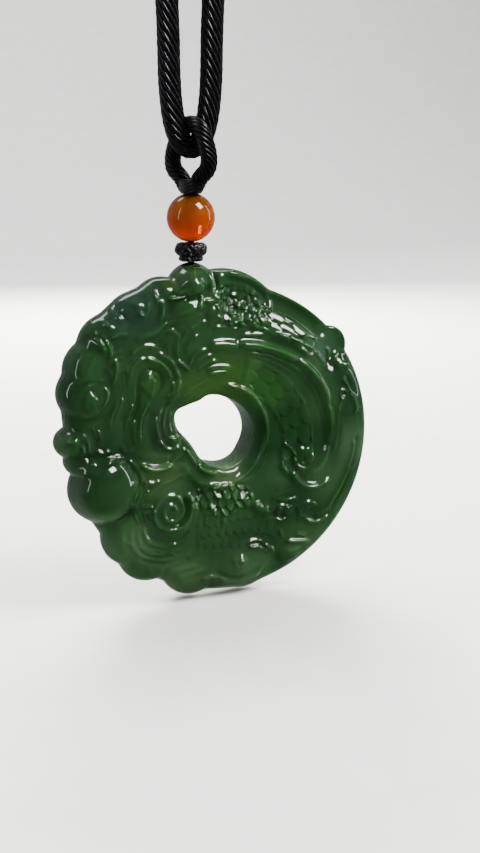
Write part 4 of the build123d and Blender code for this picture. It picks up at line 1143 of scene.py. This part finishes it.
# Closing barrel with rounded ends, two turned lines and a fine seam round its middle
bore = necklace_cord_diameter / 2 + clasp_clearance
half = clasp_length / 2
outside = clasp_diameter / 2
barrel_around = 72
half_profile = [
    (-half + 0.12, bore),
    (-half, bore + 0.12),
    (-half, outside - clasp_edge),
    (-half + 0.18, outside - 0.18),
    (-half + clasp_edge, outside),
    (-half + 2.0, outside),
    (-half + 2.15, outside - 0.14),
    (-half + 2.3, outside),
    (-0.14, outside),
    (-0.05, outside - 0.22),
]
barrel_profile = half_profile + [(-along, radius) for along, radius in reversed(half_profile)]
points = turned_points(barrel_profile, barrel_around, clasp_z, lying=True)
faces = ring_faces(len(barrel_profile), barrel_around, closed=True)
barrel = new_piece("clasp_barrel", points, faces, "necklace", "cord_clasp", "clasp")
for polygon in barrel.data.polygons:
    polygon.use_smooth = False

# Knot: thin twisted threads wound both ways round a core
windings = table("radius band_width band_height turns windings z thread start", [
    (1.75, 0.56, 0.74, 5, 13, knot_z, 0.62, 0.0),
    (1.75, 0.56, 0.74, 5, -13, knot_z, 0.62, 0.3),
    (1.45, 0.34, 0.26, 4, 11, knot_foot_z, 0.42, 0.1),
    (1.45, 0.34, 0.26, 4, -11, knot_foot_z, 0.42, 0.5),
])
winding_steps = 420
winding_around = 10
twist = 0.55
twist_depth = 0.13


def wound_thread(winding):
    places = []
    for number in range(winding_steps):
        share = TURN * number / winding_steps
        angle = winding.turns * share + winding.start
        reach = winding.radius + winding.band_width * math.cos(winding.windings * share)
        height = winding.band_height * math.sin(winding.windings * share)
        places.append(Vector((reach * math.cos(angle), reach * math.sin(angle), winding.z + height)))
    points = []
    for number, place in enumerate(places):
        beyond = places[(number + 1) % winding_steps]
        tangent = (beyond - places[number - 1]).normalized()
        outward = Vector((place.x, place.y, 0.0)).normalized()
        side = tangent.cross(outward).normalized()
        normal = side.cross(tangent).normalized()
        for corner in range(winding_around):
            turn = TURN * corner / winding_around
            ridge = 1.0 + twist_depth * math.cos(2.0 * (turn - twist * number))
            off = (normal * math.cos(turn) + side * math.sin(turn)) * winding.thread / 2 * ridge
            points.append((place + off) * MM)
    return points


knot_points = []
knot_faces = []
for winding in windings:
    knot_faces.extend(ring_faces(winding_steps, winding_around, len(knot_points), closed=True))
    knot_points.extend(wound_thread(winding))
core_profile = [
    (knot_z + 0.75, 0.78),
    (knot_z + 0.75, 1.9),
    (knot_z, 2.25),
    (knot_z - 0.75, 1.95),
    (knot_foot_z - 0.25, 1.6),
    (knot_foot_z - 0.25, 0.78),
]
core_around = 40
knot_faces.extend(ring_faces(len(core_profile), core_around, len(knot_points), closed=True))
knot_points.extend(turned_points(core_profile, core_around, 0.0))
new_piece("knot_winding", knot_points, knot_faces, "pendant", "lower_knot", "knot_thread")
print("knot triangles", 2 * len(knot_faces))

# The thread is carried over with its own material
for material_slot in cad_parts["bead_thread"].material_slots:
    material_slot.material = looks["knot_thread"]

# Floor that curves up into a pale wall behind, in metres
floor_z = cad_low.z - 0.0004
floor_half_width = 2.4
sweep_radius = 0.5
sweep_start = 0.7
sweep_steps = 12
wall_height = 2.2
sweep_rows = [(-1.3, floor_z), (-0.6, floor_z), (sweep_start, floor_z)]
for step in range(1, sweep_steps + 1):
    angle = TURN / 4 * step / sweep_steps
    rise = sweep_radius * (1.0 - math.cos(angle))
    sweep_rows.append((sweep_start + sweep_radius * math.sin(angle), floor_z + rise))
sweep_rows.append((sweep_start + sweep_radius, floor_z + wall_height))
points = []
for row_y, row_z in sweep_rows:
    points.extend([(-floor_half_width, row_y, row_z), (floor_half_width, row_y, row_z)])
faces = [(2 * row, 2 * row + 1, 2 * row + 3, 2 * row + 2) for row in range(len(sweep_rows) - 1)]
floor = new_object("floor", points, faces, looks["floor"])
floor.visible_glossy = False

# Pale sky that is darker in front, where the polish mirrors it
world = bpy.data.worlds.new("studio")
bpy.context.scene.world = world
world.use_nodes = True
sky = world.node_tree
floor_tone = 0.62
sky_place = add_node(sky, "TexCoord", {}).outputs["Generated"]
sky_y = add_node(sky, "SeparateXYZ", {"Vector": sky_place}).outputs["Y"]
sky_ends = {"Value": sky_y, "From Min": -0.1, "From Max": 0.8, "To Min": 0.08, "To Max": 0.34}
sky_level = add_node(sky, "MapRange", sky_ends, interpolation_type="SMOOTHSTEP").outputs["Result"]
# Straight views past the floor's end meet the same pale tone as the floor
straight = add_node(sky, "LightPath", {}).outputs["Is Camera Ray"]
sky_seen = add_node(sky, "Mix", {"Factor": straight, "A": sky_level, "B": floor_tone}).outputs["Result"]
set_inputs(sky, sky.nodes["Background"], {"Color": (0.84, 0.88, 0.90, 1), "Strength": sky_seen})

# The lamps and the camera look at a point beside the middle of the disc
aim_offset_x = -1.65
aim_offset_z = 0.9
aim = Vector(((disc_x + aim_offset_x) * MM, 0.0, (disc_z + aim_offset_z) * MM))


def look_at_aim(obj, direction, distance):
    obj.location = aim + direction * distance
    obj.rotation_mode = "QUATERNION"
    obj.rotation_quaternion = (-direction).to_track_quat("-Z", "Y")


# Lights round the pendant; those that do not show in the polish only light and shine through the stone
lamps = table("name x y z distance width depth power red green blue mirrored", [
    ("key_window", 0.42, -0.42, 0.80, 0.5, 0.17, 0.21, 3.4, 1.0, 0.99, 0.97, True),
    ("ceiling_back", 0.05, 0.55, 0.83, 0.5, 0.50, 0.10, 0.9, 0.90, 0.98, 1.0, True),
    ("left_window", -0.88, -0.12, 0.34, 0.5, 0.03, 0.42, 0.26, 0.92, 0.97, 1.0, True),
    ("right_window", 0.92, -0.12, 0.28, 0.5, 0.03, 0.42, 0.36, 1.0, 1.0, 1.0, True),
    ("back", 0.25, 0.9, 0.45, 0.45, 0.22, 0.16, 10.0, 1.0, 1.0, 0.88, False),
    ("room", 0.2, -0.5, 1.0, 1.6, 1.4, 1.0, 30.0, 1.0, 1.0, 1.0, False),
    ("room_side", 0.9, -0.35, 0.6, 0.8, 0.5, 0.5, 12.0, 1.0, 0.98, 0.95, False),
    ("room_back", 0.0, 0.55, 0.9, 1.3, 1.6, 0.6, 38.0, 1.0, 1.0, 1.0, False),
])
for lamp in lamps:
    light = bpy.data.lights.new(lamp.name, "AREA")
    light.shape = "RECTANGLE"
    light.size = lamp.width
    light.size_y = lamp.depth
    light.energy = lamp.power
    light.color = (lamp.red, lamp.green, lamp.blue)
    obj = bpy.data.objects.new(lamp.name, light)
    bpy.context.collection.objects.link(obj)
    look_at_aim(obj, Vector((lamp.x, lamp.y, lamp.z)).normalized(), lamp.distance)
    obj.visible_glossy = lamp.mirrored

# Camera, set by how many pixels of the photo a millimetre takes and where the aim lies from its middle
picture_height = 853.0
pixels_per_mm = 6.0
aim_left_pixels = 32.0
aim_down_pixels = 3.5
sensor_height = 36.0
camera_distance = 0.195
azimuth = math.radians(-22.0)
elevation = math.radians(13.0)
across = math.cos(elevation)
camera_data = bpy.data.cameras.new("camera")
camera = bpy.data.objects.new("camera", camera_data)
bpy.context.collection.objects.link(camera)
bpy.context.scene.camera = camera
back = Vector((math.sin(azimuth) * across, -math.cos(azimuth) * across, math.sin(elevation)))
look_at_aim(camera, back, camera_distance)
camera_data.sensor_fit = "VERTICAL"
camera_data.sensor_height = sensor_height
camera_data.lens = sensor_height * pixels_per_mm * camera_distance / MM / picture_height
camera_data.shift_x = aim_left_pixels / picture_height
camera_data.shift_y = aim_down_pixels / picture_height
camera_data.clip_start = 0.01
camera_data.clip_end = 20.0
